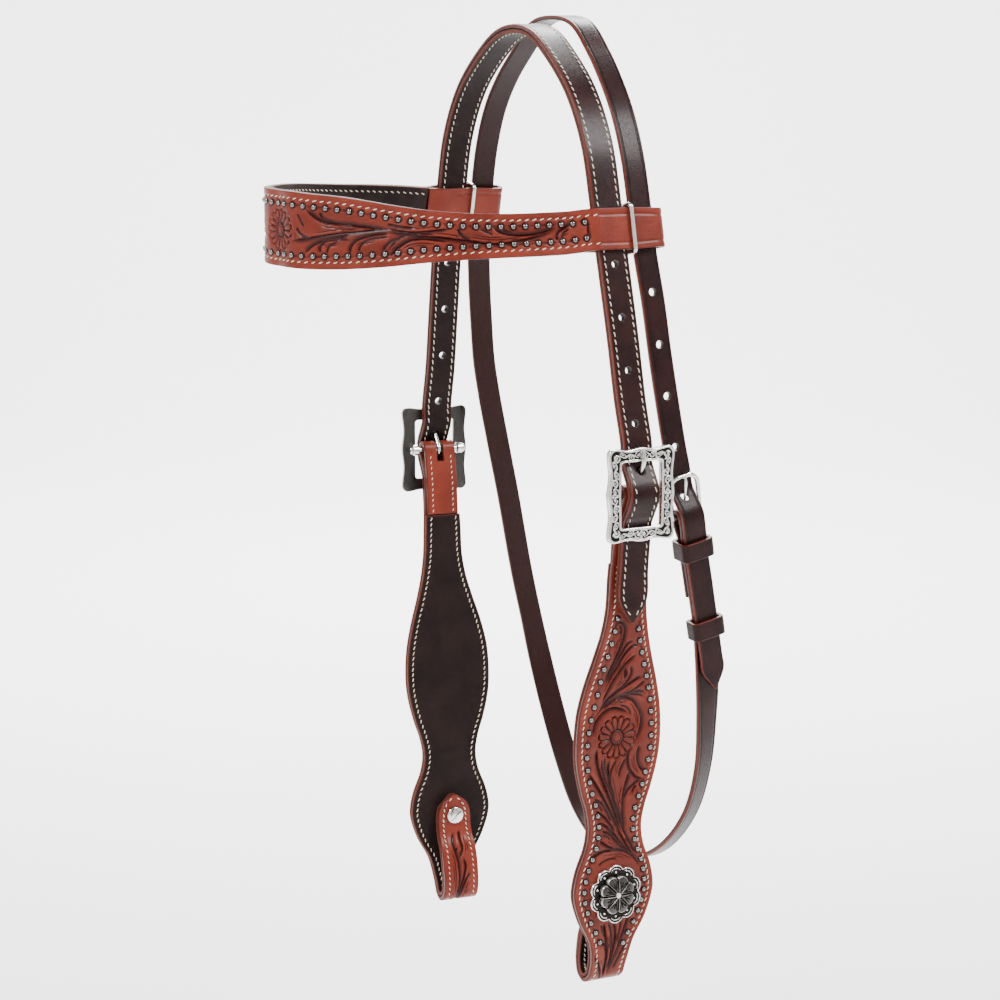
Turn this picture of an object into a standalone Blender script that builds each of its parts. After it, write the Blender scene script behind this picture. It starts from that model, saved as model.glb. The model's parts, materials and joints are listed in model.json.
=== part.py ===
"""Western headstall of tooled leather, at its real size in metres.

The origin is the poll, where the crown strap lies over the horse's head.
The browband faces -Y, the horse's left side is +X and up is +Z.
"""

import math

import bmesh
import bpy
import numpy as np
from mathutils import Matrix, Vector

# Clearances
touch_gap = 0.0003
strap_clearance = 0.0008
layer_gap = 0.00036
fold_clearance = 0.0005
cut_overrun = 0.002

# Leather stock
crown_width = 0.0159
crown_layer = 0.0021
throat_width = 0.0127
throat_layer = 0.0023
browband_layer = 0.0022
browband_lining_layer = 0.0018
cheek_layer = 0.0023
cheek_lining_layer = 0.0019
hole_diameter = 0.004
tongue_hole_diameter = 0.0048
hole_pitch = 0.0254

# Where the cart buckles hang
buckle_spread = 0.1066
buckle_set_back = {"left": 0.003, "right": 0.002}
buckle_drop = {"left": 0.2202, "right": 0.224}
turn_angle = {"left": math.radians(1), "right": math.radians(4)}
side_sign = {"left": 1, "right": -1}

# Cart buckle
frame_width = 0.0375
frame_height = 0.046
window_width = 0.0228
window_height = 0.032
frame_depth = 0.003
frame_round = 0.0005
frame_wave = 0.0009
frame_corner = 0.003
window_corner = 0.0015
bar_radius = 0.0018
bar_set_in = 0.0042
bar_head_radius = 0.0023
bar_head_length = 0.0012
lug_radius = 0.003
lug_length = 0.0032
cart_tongue_radius = 0.001
tongue_tuck_share = 0.6
head_round_share = 0.8

# Crown strap
tail_length = 0.064
tail_point = 0.012
tail_tip_width = 0.001
tail_straight_share = 0.72
tip_width_share = 0.6
crown_hole_count = 4
crown_hole_slip = {"left": 0.0, "right": 0.0065}
crown_spread_shares = (0.165, 0.324, 0.545, 0.693, 0.776, 0.824, 0.9, 0.95)
crown_drop_shares = (0.013, 0.0566, 0.150, 0.2695, 0.420, 0.528, 0.727, 0.8745)
crown_turn_shares = (0.0, 0.0, 0.0, 0.0, 0.0, 0.0, 0.35, 0.75)
crown_lead = 0.0015
crown_lead_shares = (0.3, 0.7, 1.0, 1.0, 0.8, 0.5, 0.0, 0.0)

# Cheek piece, drops measured from the buckle bar
screw_drop = 0.202
loop_drop = 0.046
cheek_drop = screw_drop + loop_drop
cheek_stretch = {"left": 1.01, "right": 0.99}
cheek_swing = {"left": -0.003, "right": 0.0}
cheek_half_width = 0.0243
neck_half_width = 0.0088
fold_half_width = 0.0101
flap_length = 0.035
flap_rise_share = 0.45
flap_shares = (1.0, 0.85, 0.7)
slot_width = 0.0042
slot_drop = 0.006
face_line_in = 0.0188
cheek_drop_shares = (0.1964, 0.2873, 0.3474, 0.4064, 0.4702, 0.539, 0.6139, 0.6691,
                     0.7366, 0.7833, 0.8312, 0.8778, 0.9331, 0.9699, 1.0018)
cheek_in_shares = (0.52, 0.55, 0.60, 0.68, 0.76, 0.83, 0.87, 0.91, 0.945, 0.96,
                   0.975, 0.98, 0.985, 0.99, 1.0)
cheek_width_shares = (0.42, 0.45, 0.53, 0.665, 0.83, 0.96, 1.0, 0.965, 0.83, 0.70,
                      0.63, 0.68, 0.86, 0.935, 0.945)

# Bit loop under the concho, shares of its reach and of its drop below the screw
loop_reach = {"left": 0.0175, "right": 0.0166}
loop_in_shares = (0.012, 0.057, 0.15, 0.257, 0.36, 0.63, 0.91, 1.0, 0.98, 0.89, 0.74, 0.54)
loop_drop_shares = (0.28, 0.53, 0.73, 0.85, 0.94, 1.0, 0.94, 0.82, 0.66, 0.50, 0.36, 0.24)
loop_width_shares = (1.88, 1.27, 1.06, 1.01, 1.0, 1.0, 1.0, 1.0, 1.0, 1.0, 0.99, 0.97)
loop_tip_rise = 0.0115
loop_tip_start_share = 0.95
loop_tip_rise_shares = (0.0, 0.35, 0.62, 0.82, 0.94, 1.0)
loop_tip_width_shares = (0.93, 0.86, 0.70, 0.46, 0.24, 0.06)

# Concho and its screw
concho_radius = 0.0145
concho_height = 0.0042
concho_scallops = 10
concho_scallop_depth = 0.001
concho_rim = 0.001
concho_blank_share = 1.1
concho_trim_share = 1.3
post_radius = 0.0027
post_bore_radius = 0.0018
screw_head_radius = 0.0047
screw_head_height = 0.0018
screw_shank_radius = 0.0015
screw_slot_width = 0.0012
screw_slot_depth = 0.0008
leather_bore_radius = 0.003

# Browband
browband_drop = 0.094
browband_reach = 0.1374
browband_half_height = 0.0185
browband_end_half_height = 0.0102
browband_rear_half_height = 0.0096
browband_eye_front = 0.0145
browband_meet_share = 0.25
browband_flap_share = 0.87
browband_plan_spread_shares = (0.0, 0.12, 0.229, 0.43, 0.609, 0.7555, 0.862, 0.9275, 0.969, 0.992)
browband_plan_reach_shares = {
    "left": (1.0, 0.995, 0.967, 0.873, 0.770, 0.6565, 0.527, 0.387, 0.245, 0.16),
    "right": (1.0, 1.008, 0.992, 0.885, 0.775, 0.6565, 0.527, 0.387, 0.245, 0.16)}
browband_height_shares = (1.0, 0.998, 0.985, 0.93, 0.81, 0.68, 0.60, 0.565, 0.56, 0.555)
browband_sink_shares = {
    "left": (0.993, 0.995, 1.0, 1.006, 1.013, 1.015, 1.016, 1.015, 1.011, 1.006),
    "right": (0.993, 0.989, 0.982, 0.97, 0.953, 0.939, 0.934, 0.936, 0.946, 0.955)}
browband_eye_drop = {"left": 0.094, "right": 0.0903}
browband_lean_shares = (0.0, 0.0, 0.02, 0.08, 0.16, 0.28, 0.42, 0.6, 0.8, 0.92)
clip_wire_radius = 0.0011
clip_corner = 0.0015

# Throatlatch
throat_spread = 0.092
throat_reach = 0.0615
throat_drop = 0.4412
throat_rise = 0.0077
throat_spread_shares = (0.0, 0.22, 0.405, 0.565, 0.70, 0.80, 0.867, 0.916, 0.963, 0.989, 0.997, 1.0)
throat_reach_shares = (0.317, 0.317, 0.31, 0.29, 0.28, 0.28, 0.285, 0.296, 0.335, 0.378, 0.41, 0.465)
throat_drop_shares = (0.0, 0.007, 0.037, 0.069, 0.106, 0.152, 0.205, 0.2555, 0.312, 0.369, 0.415, 0.459)
throat_side_spread_shares = (1.005, 1.005, 0.999, 0.97, 0.925, 0.838, 0.695, 0.484, 0.24, 0.0)
throat_side_reach_shares = (0.56, 0.665, 0.79, 0.876, 0.919, 0.974, 1.0, 0.984, 0.968, 0.96)
throat_side_drop_shares = (0.52, 0.588, 0.680, 0.745, 0.790, 0.853, 0.913, 0.962, 0.991, 1.0)
throat_side_turn_shares = (0.0, 0.0, 0.0, 0.0, 0.45, 0.9, 1.0, 0.8, 0.35, 0.0)
throat_turn = math.radians(24)
throat_hole_count = 4

# Throatlatch buckle
throat_bar_spread = 0.0929
throat_bar_back = 0.0381
throat_bar_drop = 0.235
throat_slope = math.radians(12)
throat_frame_lean = math.radians(8.5)
throat_frame_width = 0.0185
throat_frame_length = 0.0205
throat_frame_stock = 0.0022
throat_frame_corner = 0.0065
throat_frame_depth = 0.0023
throat_bar_radius = 0.0014
throat_tongue_radius = 0.0008
turnback_length = 0.042
turnback_shares = (1.0, 0.7, 0.42, 0.3)
turnback_neck_shares = (0.9, 0.12)
billet_length = 0.092
billet_point = 0.010
billet_start_share = 1.7
billet_tip_width = 0.001
billet_under_shares = (1.7, 1.1)
keeper_wall = 0.002
keeper_height = 0.0095
keeper_corner_share = 1.5
upper_keeper_drop = 0.017
lower_keeper_drop = 0.059
chape_slot_width = 0.003
chape_slot_drop = 0.004

# Round shapes
fine_segments = 24
coarse_segments = 12
spline_count = 2

UP = Vector((0, 0, 1))
BACK = Vector((0, 1, 0))

crown_stack = 2 * crown_layer + touch_gap
frame_bar_height = (frame_height - window_height) / 2
bar_line = (window_height + frame_bar_height) / 2


def fresh_scene():
    """Empty the scene and make the part's and the cutters' collections."""
    for thing in list(bpy.data.objects):
        bpy.data.objects.remove(thing, do_unlink=True)
    for name in ("western_headstall", "cutters"):
        bpy.context.scene.collection.children.link(bpy.data.collections.new(name))


def material(name, colour, roughness, metallic):
    """Return a Principled material."""
    made = bpy.data.materials.new(name)
    made.use_nodes = True
    shader = made.node_tree.nodes["Principled BSDF"]
    shader.inputs["Base Color"].default_value = (*colour, 1)
    shader.inputs["Roughness"].default_value = roughness
    shader.inputs["Metallic"].default_value = metallic
    return made


def add_part(name, mesh, finish, matrix=None):
    """Link a named sub-part with its finish."""
    part = bpy.data.objects.new(name, mesh)
    mesh.materials.append(finish)
    if matrix is not None:
        part.matrix_world = matrix
    bpy.data.collections["western_headstall"].objects.link(part)
    return part


def add_cutter(name, mesh, matrix=None):
    """Link a shape that only cuts or joins."""
    cutter = bpy.data.objects.new(name, mesh)
    if matrix is not None:
        cutter.matrix_world = matrix
    cutter.hide_render = True
    cutter.display_type = "WIRE"
    bpy.data.collections["cutters"].objects.link(cutter)
    return cutter


def combine(part, other, operation):
    """Add an exact Boolean of another shape to a part."""
    step = part.modifiers.new(f"{operation.lower()}_{other.name}", "BOOLEAN")
    step.operation = operation
    step.solver = "EXACT"
    step.object = other


def smooth_round(mesh):
    """Shade a round piece smooth and keep its real edges sharp."""
    mesh.shade_smooth()
    mesh.set_sharp_from_angle(angle=math.radians(35))


def cylinder_mesh(name, radius, length, segments):
    """Return a closed cylinder round Z, centred on its own origin."""
    shape = bmesh.new()
    bmesh.ops.create_cone(shape, cap_ends=True, segments=segments,
                          radius1=radius, radius2=radius, depth=length)
    mesh = bpy.data.meshes.new(name)
    shape.to_mesh(mesh)
    shape.free()
    smooth_round(mesh)
    return mesh


def axis_matrix(place, axis, across):
    """Return a matrix whose Z is the axis and whose X lies along across."""
    z = axis.normalized()
    x = (across - across.dot(z) * z).normalized()
    y = z.cross(x)
    matrix = Matrix((x, y, z)).transposed().to_4x4()
    matrix.translation = place
    return matrix


def cylinder_cutter(name, place, axis, radius, length):
    """Add a cylinder cutter centred on a place."""
    mesh = cylinder_mesh(name, radius, length, coarse_segments)
    across = UP if abs(axis.normalized().z) < 0.9 else BACK
    return add_cutter(name, mesh, axis_matrix(place, axis, across))


def box_cutter(name, place, axis, across, sizes):
    """Add a box cutter with its sizes along across, the third way and the axis."""
    shape = bmesh.new()
    bmesh.ops.create_cube(shape, size=1)
    bmesh.ops.scale(shape, vec=sizes, verts=shape.verts)
    mesh = bpy.data.meshes.new(name)
    shape.to_mesh(mesh)
    shape.free()
    return add_cutter(name, mesh, axis_matrix(place, axis, across))


def knot(place, across, half_width):
    """Return one row of a route: a place, the way across and half the width."""
    return (*place, *across, half_width)


def spline(knots):
    """Return rows along a centripetal Catmull-Rom spline through the knots."""
    table = np.array(knots, dtype=float)
    table = np.vstack((2 * table[0] - table[1], table, 2 * table[-1] - table[-2]))
    steps = np.sqrt(np.linalg.norm(np.diff(table[:, :3], axis=0), axis=1))
    times = np.concatenate(([0], np.cumsum(steps)))
    rows = []
    for k in range(1, len(table) - 2):
        t0, t1, t2, t3 = times[k - 1:k + 3]
        p0, p1, p2, p3 = table[k - 1:k + 3]
        for t in np.linspace(t1, t2, spline_count, endpoint=False):
            a1 = p0 + (p1 - p0) * (t - t0) / (t1 - t0)
            a2 = p1 + (p2 - p1) * (t - t1) / (t2 - t1)
            a3 = p2 + (p3 - p2) * (t - t2) / (t3 - t2)
            b1 = a1 + (a2 - a1) * (t - t0) / (t2 - t0)
            b2 = a2 + (a3 - a2) * (t - t1) / (t3 - t1)
            rows.append(b1 + (b2 - b1) * (t - t1) / (t2 - t1))
    rows.append(table[-2])
    return np.array(rows)


def frames(rows, sign=1):
    """Return place, way across, outward normal and half width for each row."""
    along = np.gradient(rows[:, :3], axis=0)
    found = []
    for row, step in zip(rows, along):
        t = Vector(step).normalized()
        across = Vector(row[3:6])
        across = (across - across.dot(t) * t).normalized()
        found.append((Vector(row[:3]), across, sign * t.cross(across), row[6]))
    return found


def strip_mesh(name, stations, offset, thickness, origin):
    """Wrap a flat leather blank along its stations, one layer thick.

    offset moves the layer's middle along the outward normal.
    """
    spans = len(stations) - 1
    blank = bmesh.new()
    bmesh.ops.create_grid(blank, x_segments=spans, y_segments=1, size=1)
    bmesh.ops.triangulate(blank, faces=blank.faces[:], quad_method="FIXED")
    lifted = bmesh.ops.extrude_face_region(blank, geom=blank.faces[:])["geom"]
    top = {v for v in lifted if isinstance(v, bmesh.types.BMVert)}
    for vert in blank.verts:
        place, across, normal, half_width = stations[round((vert.co.x + 1) / 2 * spans)]
        level = offset + (thickness if vert in top else -thickness) / 2
        side = half_width * vert.co.y
        vert.co = place + across * side + normal * level - origin
    bmesh.ops.recalc_face_normals(blank, faces=blank.faces)
    mesh = bpy.data.meshes.new(name)
    blank.to_mesh(mesh)
    blank.free()
    return mesh


def add_strip(name, stations, offset, thickness, finish, origin=Vector((0, 0, 0))):
    """Add one layer of leather whose object origin sits on a chosen place."""
    mesh = strip_mesh(name, stations, offset, thickness, origin)
    smooth_round(mesh)
    return add_part(name, mesh, finish, Matrix.Translation(origin))


def tube_mesh(name, points, radius, closed=False):
    """Return a round rod along a list of points, with filled ends."""
    curve = bpy.data.curves.new(name, "CURVE")
    curve.dimensions = "3D"
    curve.bevel_depth = radius
    curve.bevel_resolution = 2
    curve.use_fill_caps = True
    line = curve.splines.new("POLY")
    line.points.add(len(points) - 1)
    for spot, place in zip(line.points, points):
        spot.co = (*place, 1)
    line.use_cyclic_u = closed
    return curve_to_mesh(name, curve)


def plate_mesh(name, outlines, depth, rounding):
    """Return a flat plate from closed outlines, the first its edge, the rest holes."""
    curve = bpy.data.curves.new(name, "CURVE")
    curve.dimensions = "2D"
    curve.fill_mode = "BOTH"
    curve.extrude = depth / 2 - rounding
    curve.bevel_depth = rounding
    curve.bevel_resolution = 0
    curve.offset = -rounding
    for outline in outlines:
        line = curve.splines.new("POLY")
        line.points.add(len(outline) - 1)
        for spot, (x, y) in zip(line.points, outline):
            spot.co = (x, y, 0, 1)
        line.use_cyclic_u = True
    return curve_to_mesh(name, curve)


def curve_to_mesh(name, curve):
    """Turn a curve into a welded mesh and drop the curve."""
    holder = bpy.data.objects.new(name, curve)
    bpy.context.scene.collection.objects.link(holder)
    bpy.context.view_layer.update()
    evaluated = holder.evaluated_get(bpy.context.evaluated_depsgraph_get())
    mesh = bpy.data.meshes.new_from_object(evaluated)
    bpy.data.objects.remove(holder, do_unlink=True)
    shape = bmesh.new()
    shape.from_mesh(mesh)
    bmesh.ops.remove_doubles(shape, verts=shape.verts, dist=touch_gap / 10)
    bmesh.ops.recalc_face_normals(shape, faces=shape.faces)
    shape.to_mesh(mesh)
    shape.free()
    smooth_round(mesh)
    return mesh


def rounded_rectangle(width, height, corner, corner_cuts=3):
    """Return the points of a rectangle with round corners."""
    points = []
    for quarter, (sx, sy) in enumerate(((1, 1), (-1, 1), (-1, -1), (1, -1))):
        for step in range(corner_cuts + 1):
            angle = math.pi / 2 * (quarter + step / corner_cuts)
            points.append((sx * (width / 2 - corner) + corner * math.cos(angle),
                           sy * (height / 2 - corner) + corner * math.sin(angle)))
    return points


class Side:
    """Axes and places of one side's cart buckle and cheek piece.

    out is away from the horse's cheek, from the middle plane of the buckle
    frame, and rise is up from the buckle's centre bar.
    """

    def __init__(self, name):
        angle = turn_angle[name]
        self.name = name
        self.sign = side_sign[name]
        self.out_way = Vector((self.sign * math.cos(angle), math.sin(angle), 0))
        self.back_way = Vector((-self.sign * math.sin(angle), math.cos(angle), 0))
        self.centre = Vector((self.sign * buckle_spread, buckle_set_back[name],
                              -buckle_drop[name]))
        self.bar = self.at(-bar_set_in, 0)

    def at(self, out, rise):
        """Return the world place for a distance out and a rise."""
        return self.centre + self.out_way * out + UP * rise

    def hang(self, out, drop):
        """Return the world place for a distance out and a drop along the cheek piece."""
        swing = self.back_way * cheek_swing[self.name] * drop / cheek_drop
        return self.at(out, -drop * cheek_stretch[self.name]) + swing

    def plate_matrix(self):
        """Return the frame's matrix: X across, Y up and Z outward."""
        across = self.back_way * self.sign
        matrix = Matrix((across, UP, self.out_way)).transposed().to_4x4()
        matrix.translation = self.centre
        return matrix


strap_behind_out = -(frame_depth / 2 + touch_gap + crown_stack / 2)
fold_radius = bar_radius + fold_clearance + cheek_layer / 2
crest_radius = fold_radius + cheek_layer / 2 + 2 * touch_gap + crown_stack / 2
crest_out = -bar_set_in + crest_radius
climb_angle = math.radians(30)
climb_shares = (1.3, 0.95, 0.5, 0.0)
climb_ease_share = 0.93
tail_step = crown_stack / 2 + touch_gap + cheek_layer / 2
face_neck_out = strap_behind_out - tail_step - touch_gap


def cheek_run_knots(side):
    """Return the knots of the cheek's outer face between its fold and the screw."""
    knots = []
    line_in = face_line_in
    for drop_share, in_share, width_share in zip(cheek_drop_shares, cheek_in_shares,
                                                 cheek_width_shares):
        place = side.hang(-line_in * in_share, screw_drop * drop_share)
        knots.append(knot(place, side.back_way, cheek_half_width * width_share))
    return knots


def crown_side_knots(side):
    """Return the crown strap's knots from beside the poll down to its tail."""
    half = crown_width / 2
    top = side.at(strap_behind_out, bar_line)
    knots = []
    rows = zip(crown_spread_shares, crown_drop_shares, crown_turn_shares, crown_lead_shares)
    for spread_share, drop_share, turn_share, lead_share in rows:
        place = Vector((top.x * spread_share, top.y * turn_share - crown_lead * lead_share,
                        crown_stack / 2 + (top.z - crown_stack / 2) * drop_share))
        across = BACK.lerp(side.back_way, turn_share)
        knots.append(knot(place, across, half))
    knots.append(knot(side.at(strap_behind_out, bar_line + frame_bar_height / 2),
                      side.back_way, half))
    over_bar = climb_points(-bar_set_in, crest_radius, strap_behind_out - touch_gap)
    for out, rise in over_bar + [(crest_out, 0)]:
        knots.append(knot(side.at(out, rise), side.back_way, half))
    for out, rise in over_bar[::-1]:
        knots.append(knot(side.at(out, -rise), side.back_way, half))
    return knots


def climb_points(bar_out, radius, level):
    """Return (out, rise) points from a level behind a frame up to a turn round its bar.

    The leather leaves its turn of the given radius along a straight line.
    """
    start_out = bar_out + radius * math.cos(climb_angle)
    start_rise = radius * math.sin(climb_angle)
    run = (start_out - level) / math.tan(climb_angle)
    points = []
    for share in climb_shares:
        out = start_out + (level - start_out) * min(share, climb_ease_share)
        points.append((out, start_rise + run * share))
    points[0] = (level, start_rise + run * climb_shares[0])
    return points


def cheek_face_out(drop):
    """Return how far out the cheek's face layer lies at a drop below the bar."""
    drops = [bar_line, *(share * screw_drop for share in cheek_drop_shares)]
    outs = [face_neck_out, *(-share * face_line_in for share in cheek_in_shares)]
    return float(np.interp(drop, drops, outs))


def tail_knots(side):
    """Return the crown strap's knots from the buckle to its pointed tail."""
    half = crown_width / 2
    straight = tail_length - tail_point
    rows = ((straight * tail_straight_share, half), (straight, half),
            (straight + tail_point / 2, half * tip_width_share + tail_tip_width / 4),
            (tail_length, tail_tip_width / 2))
    return [knot(side.hang(cheek_face_out(drop) + tail_step, drop), side.back_way, width)
            for drop, width in rows]


def crown_knots(sides):
    """Return the whole crown route, from the right tail over the poll to the left."""
    halves = {name: crown_side_knots(side) + tail_knots(side) for name, side in sides.items()}
    top = knot(Vector((0, 0, crown_stack / 2)), BACK, crown_width / 2)
    return halves["right"][::-1] + [top] + halves["left"]


def station_at_height(stations, height, sign):
    """Return the first place at a height on one side, coming from the poll."""
    order = sorted(range(len(stations)), key=lambda i: -stations[i][0].z)
    poll = order[0]
    step = sign if stations[poll + 1][0].x > stations[poll - 1][0].x else -sign
    here = poll
    while stations[here + step][0].z > height:
        here += step
    low, high = stations[here + step], stations[here]
    share = (height - low[0].z) / (high[0].z - low[0].z)
    return tuple(a + (b - a) * share for a, b in zip(low, high))


def make_crown(sides, finishes):
    """Build the doubled crown strap with its punched holes."""
    stations = frames(spline(crown_knots(sides)))
    shift = (crown_layer + touch_gap) / 2
    strap = add_strip("crown_strap", stations, shift, crown_layer, finishes["dark_leather"])
    lining = add_strip("crown_lining", stations, -shift, crown_layer, finishes["lining"])
    for side in sides.values():
        foot, head = (side.at(out, rise) for out, rise in cart_tongue_points()[-4:-2])
        spots = [(foot.lerp(head, 0.5), head - foot, tongue_hole_diameter)]
        for count in range(1, crown_hole_count + 1):
            height = foot.lerp(head, 0.5).z + count * hole_pitch - crown_hole_slip[side.name]
            place, _, normal, _ = station_at_height(stations, height, side.sign)
            spots.append((place, normal, hole_diameter))
        for number, (place, axis, diameter) in enumerate(spots):
            cutter = cylinder_cutter(f"{side.name}_crown_hole_{number}", place, axis,
                                     diameter / 2, 3 * crown_stack)
            combine(strap, cutter, "DIFFERENCE")
            combine(lining, cutter, "DIFFERENCE")
    return stations


tongue_reach = fold_radius - touch_gap
tongue_curl_start = math.radians(60)
tongue_leave = math.radians(145)


def tongue_points(bar_out, curl, rod, front_out, rest_low, rest_high):
    """Return (out, rise) points of a wire tongue curled round a bar.

    The curl ends on the inner side of the bar, climbs outward through the
    strap and lies flat on the front of the frame's far bar.
    """
    turn = 2 * math.pi - (tongue_leave - tongue_curl_start)
    points = []
    curl_steps = 14
    for step in range(curl_steps + 1):
        angle = tongue_curl_start - turn * step / curl_steps
        points.append((bar_out + curl * math.cos(angle), curl * math.sin(angle)))
    rest = front_out + touch_gap + rod
    points.append((rest - rod * tongue_tuck_share, rest_low - 2 * rod))
    points.append((rest, rest_low))
    points.append((rest, rest_high))
    return points


def cart_tongue_points():
    """Return the cart buckle tongue's points, out and rise from the frame."""
    low = window_height / 2 + cart_tongue_radius / 2
    return tongue_points(-bar_set_in, tongue_reach, cart_tongue_radius, frame_depth / 2,
                         low, frame_height / 2 - frame_corner / 4)


def frame_outline():
    """Return the wavy outer edge of the cart buckle's frame."""
    points = []
    waves = 10
    corner = frame_corner
    ways = (((1, 0), (0, 1)), ((0, 1), (-1, 0)), ((-1, 0), (0, -1)), ((0, -1), (1, 0)))
    half = {0: frame_width / 2, 1: frame_height / 2}
    for number, (face, run) in enumerate(ways):
        reach = half[number % 2]
        span = half[(number + 1) % 2] - corner
        for step in range(waves + 1):
            share = 2 * step / waves - 1
            dip = frame_wave * (1 - math.cos(2 * math.pi * share)) / 2
            level = reach - dip
            points.append((face[0] * level + run[0] * span * share,
                           face[1] * level + run[1] * span * share))
    return points


def make_cart_buckle(side, finishes):
    """Build one cart buckle: engraved frame with lugs, centre bar and tongue."""
    name = side.name
    matrix = side.plate_matrix()
    window = rounded_rectangle(window_width, window_height, window_corner)
    plate = plate_mesh(f"{name}_buckle_frame", (frame_outline(), window), frame_depth, frame_round)
    frame = add_part(f"{name}_buckle_frame", plate, finishes["antique_silver"], matrix)
    lug_centre = window_width / 2 + lug_length / 2
    for end in (-1, 1):
        place = side.bar + side.back_way * lug_centre * end
        tag = "rear" if end > 0 else "front"
        lug = cylinder_cutter(f"{name}_lug_{tag}", place, side.back_way, lug_radius, lug_length)
        combine(frame, lug, "UNION")
    bore = cylinder_cutter(f"{name}_bar_bore", side.bar, side.back_way,
                           bar_radius + touch_gap, 2 * lug_centre + lug_length + cut_overrun)
    combine(frame, bore, "DIFFERENCE")
    bar_length = 2 * (lug_centre + lug_length / 2 + touch_gap)
    bar_matrix = axis_matrix(side.bar, side.back_way, UP)
    add_part(f"{name}_buckle_bar", bar_mesh(f"{name}_buckle_bar", bar_length),
             finishes["steel"], bar_matrix)
    points = [side.at(out, rise) - side.bar for out, rise in cart_tongue_points()]
    add_part(f"{name}_buckle_tongue",
             tube_mesh(f"{name}_buckle_tongue", points, cart_tongue_radius),
             finishes["steel"], Matrix.Translation(side.bar))


def bar_mesh(name, length):
    """Return a turned pin with a low head at each end."""
    half = length / 2
    face = bar_head_radius * head_round_share
    profile = ((0, half + bar_head_length), (face, half + bar_head_length),
               (bar_head_radius, half + bar_head_length / 2), (bar_head_radius, half),
               (bar_radius, half), (bar_radius, -half), (bar_head_radius, -half),
               (bar_head_radius, -half - bar_head_length / 2),
               (face, -half - bar_head_length), (0, -half - bar_head_length))
    return turned_mesh(name, profile)


def turned_mesh(name, profile, segments=fine_segments):
    """Spin a profile of (radius, height) points, listed top to bottom, round Z."""
    shape = bmesh.new()
    chain = [shape.verts.new((radius, 0, height)) for radius, height in profile]
    edges = [shape.edges.new(pair) for pair in zip(chain, chain[1:])]
    bmesh.ops.spin(shape, geom=chain + edges, cent=(0, 0, 0), axis=(0, 0, 1),
                   angle=2 * math.pi, steps=segments, use_merge=True)
    bmesh.ops.remove_doubles(shape, verts=shape.verts, dist=touch_gap / 10)
    bmesh.ops.recalc_face_normals(shape, faces=shape.faces)
    mesh = bpy.data.meshes.new(name)
    shape.to_mesh(mesh)
    shape.free()
    smooth_round(mesh)
    return mesh


def cheek_knots(side):
    """Return the cheek's tooled layer: flap, fold, face, bit loop and tip."""
    across = side.back_way
    bar_out = -bar_set_in
    pair_step = cheek_layer + touch_gap
    knots = []
    for drop_share in flap_shares:
        drop = flap_length * drop_share
        knots.append(knot(side.hang(cheek_face_out(drop) - pair_step, drop), across,
                          neck_half_width))
    low_drop = bar_line
    flap_low = face_neck_out - pair_step - touch_gap
    knots.append(knot(side.at(flap_low, -low_drop), across, neck_half_width))
    knots.append(knot(side.at((flap_low + bar_out - fold_radius) / 2,
                              -low_drop * flap_rise_share),
                      across, neck_half_width))
    fold_steps = 7
    for step in range(fold_steps):
        angle = math.pi - (math.pi + climb_angle) * step / fold_steps
        knots.append(knot(side.at(bar_out + fold_radius * math.cos(angle),
                                  fold_radius * math.sin(angle)), across, neck_half_width))
    for out, rise in climb_points(bar_out, fold_radius, face_neck_out)[::-1]:
        knots.append(knot(side.at(out, -rise), across, neck_half_width))
    knots += cheek_run_knots(side)
    knots += loop_knots(side)
    return knots


def loop_knots(side):
    """Return the bit loop's knots, from below the screw round to the rounded tip."""
    across = side.back_way
    knots = []
    for in_share, drop_share, width_share in zip(loop_in_shares, loop_drop_shares,
                                                 loop_width_shares):
        place = side.hang(-face_line_in - loop_reach[side.name] * in_share,
                          screw_drop + loop_drop * drop_share)
        knots.append(knot(place, across, fold_half_width * width_share))
    tip_out = -face_line_in - loop_return_step()
    knots.append(knot(side.hang(tip_out - touch_gap, screw_drop + loop_tip_rise / 2), across,
                      fold_half_width * loop_tip_start_share))
    for rise_share, width_share in zip(loop_tip_rise_shares, loop_tip_width_shares):
        knots.append(knot(side.hang(tip_out, screw_drop - loop_tip_rise * rise_share), across,
                          fold_half_width * width_share))
    return knots


def loop_return_step():
    """Return how far the turned-up end's face layer lies inside the cheek's."""
    return cheek_layer + 2 * cheek_lining_layer + 3 * touch_gap


def make_cheek(side, finishes):
    """Build one cheek piece with its lining, concho and screw."""
    name = side.name
    face_stations = frames(spline(cheek_knots(side)), side.sign)
    face = add_strip(f"{name}_cheek_face", face_stations, 0, cheek_layer,
                     finishes["tooled_leather"], side.bar)
    heights = [station[0].z for station in face_stations]
    fold_top = heights.index(max(heights))
    start = next(i for i in range(fold_top, len(heights))
                 if heights[i] < side.bar.z - flap_length - touch_gap)
    inset = -(cheek_layer + cheek_lining_layer) / 2 - touch_gap
    lining = add_strip(f"{name}_cheek_lining", face_stations[start:], inset,
                       cheek_lining_layer, finishes["lining"], side.bar)
    slot = box_cutter(f"{name}_tongue_slot",
                      side.bar + UP * (fold_radius + cheek_layer - slot_drop) / 2,
                      UP, side.back_way,
                      (slot_width, 2 * (fold_radius + cheek_layer),
                       fold_radius + cheek_layer + slot_drop))
    combine(face, slot, "DIFFERENCE")
    screw_place = side.hang(-face_line_in - loop_return_step() / 2, screw_drop)
    bore = cylinder_cutter(f"{name}_screw_bore", screw_place, side.out_way,
                           leather_bore_radius, 2 * (loop_return_step() + cheek_layer))
    combine(face, bore, "DIFFERENCE")
    combine(lining, bore, "DIFFERENCE")
    make_concho(side, finishes)


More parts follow.
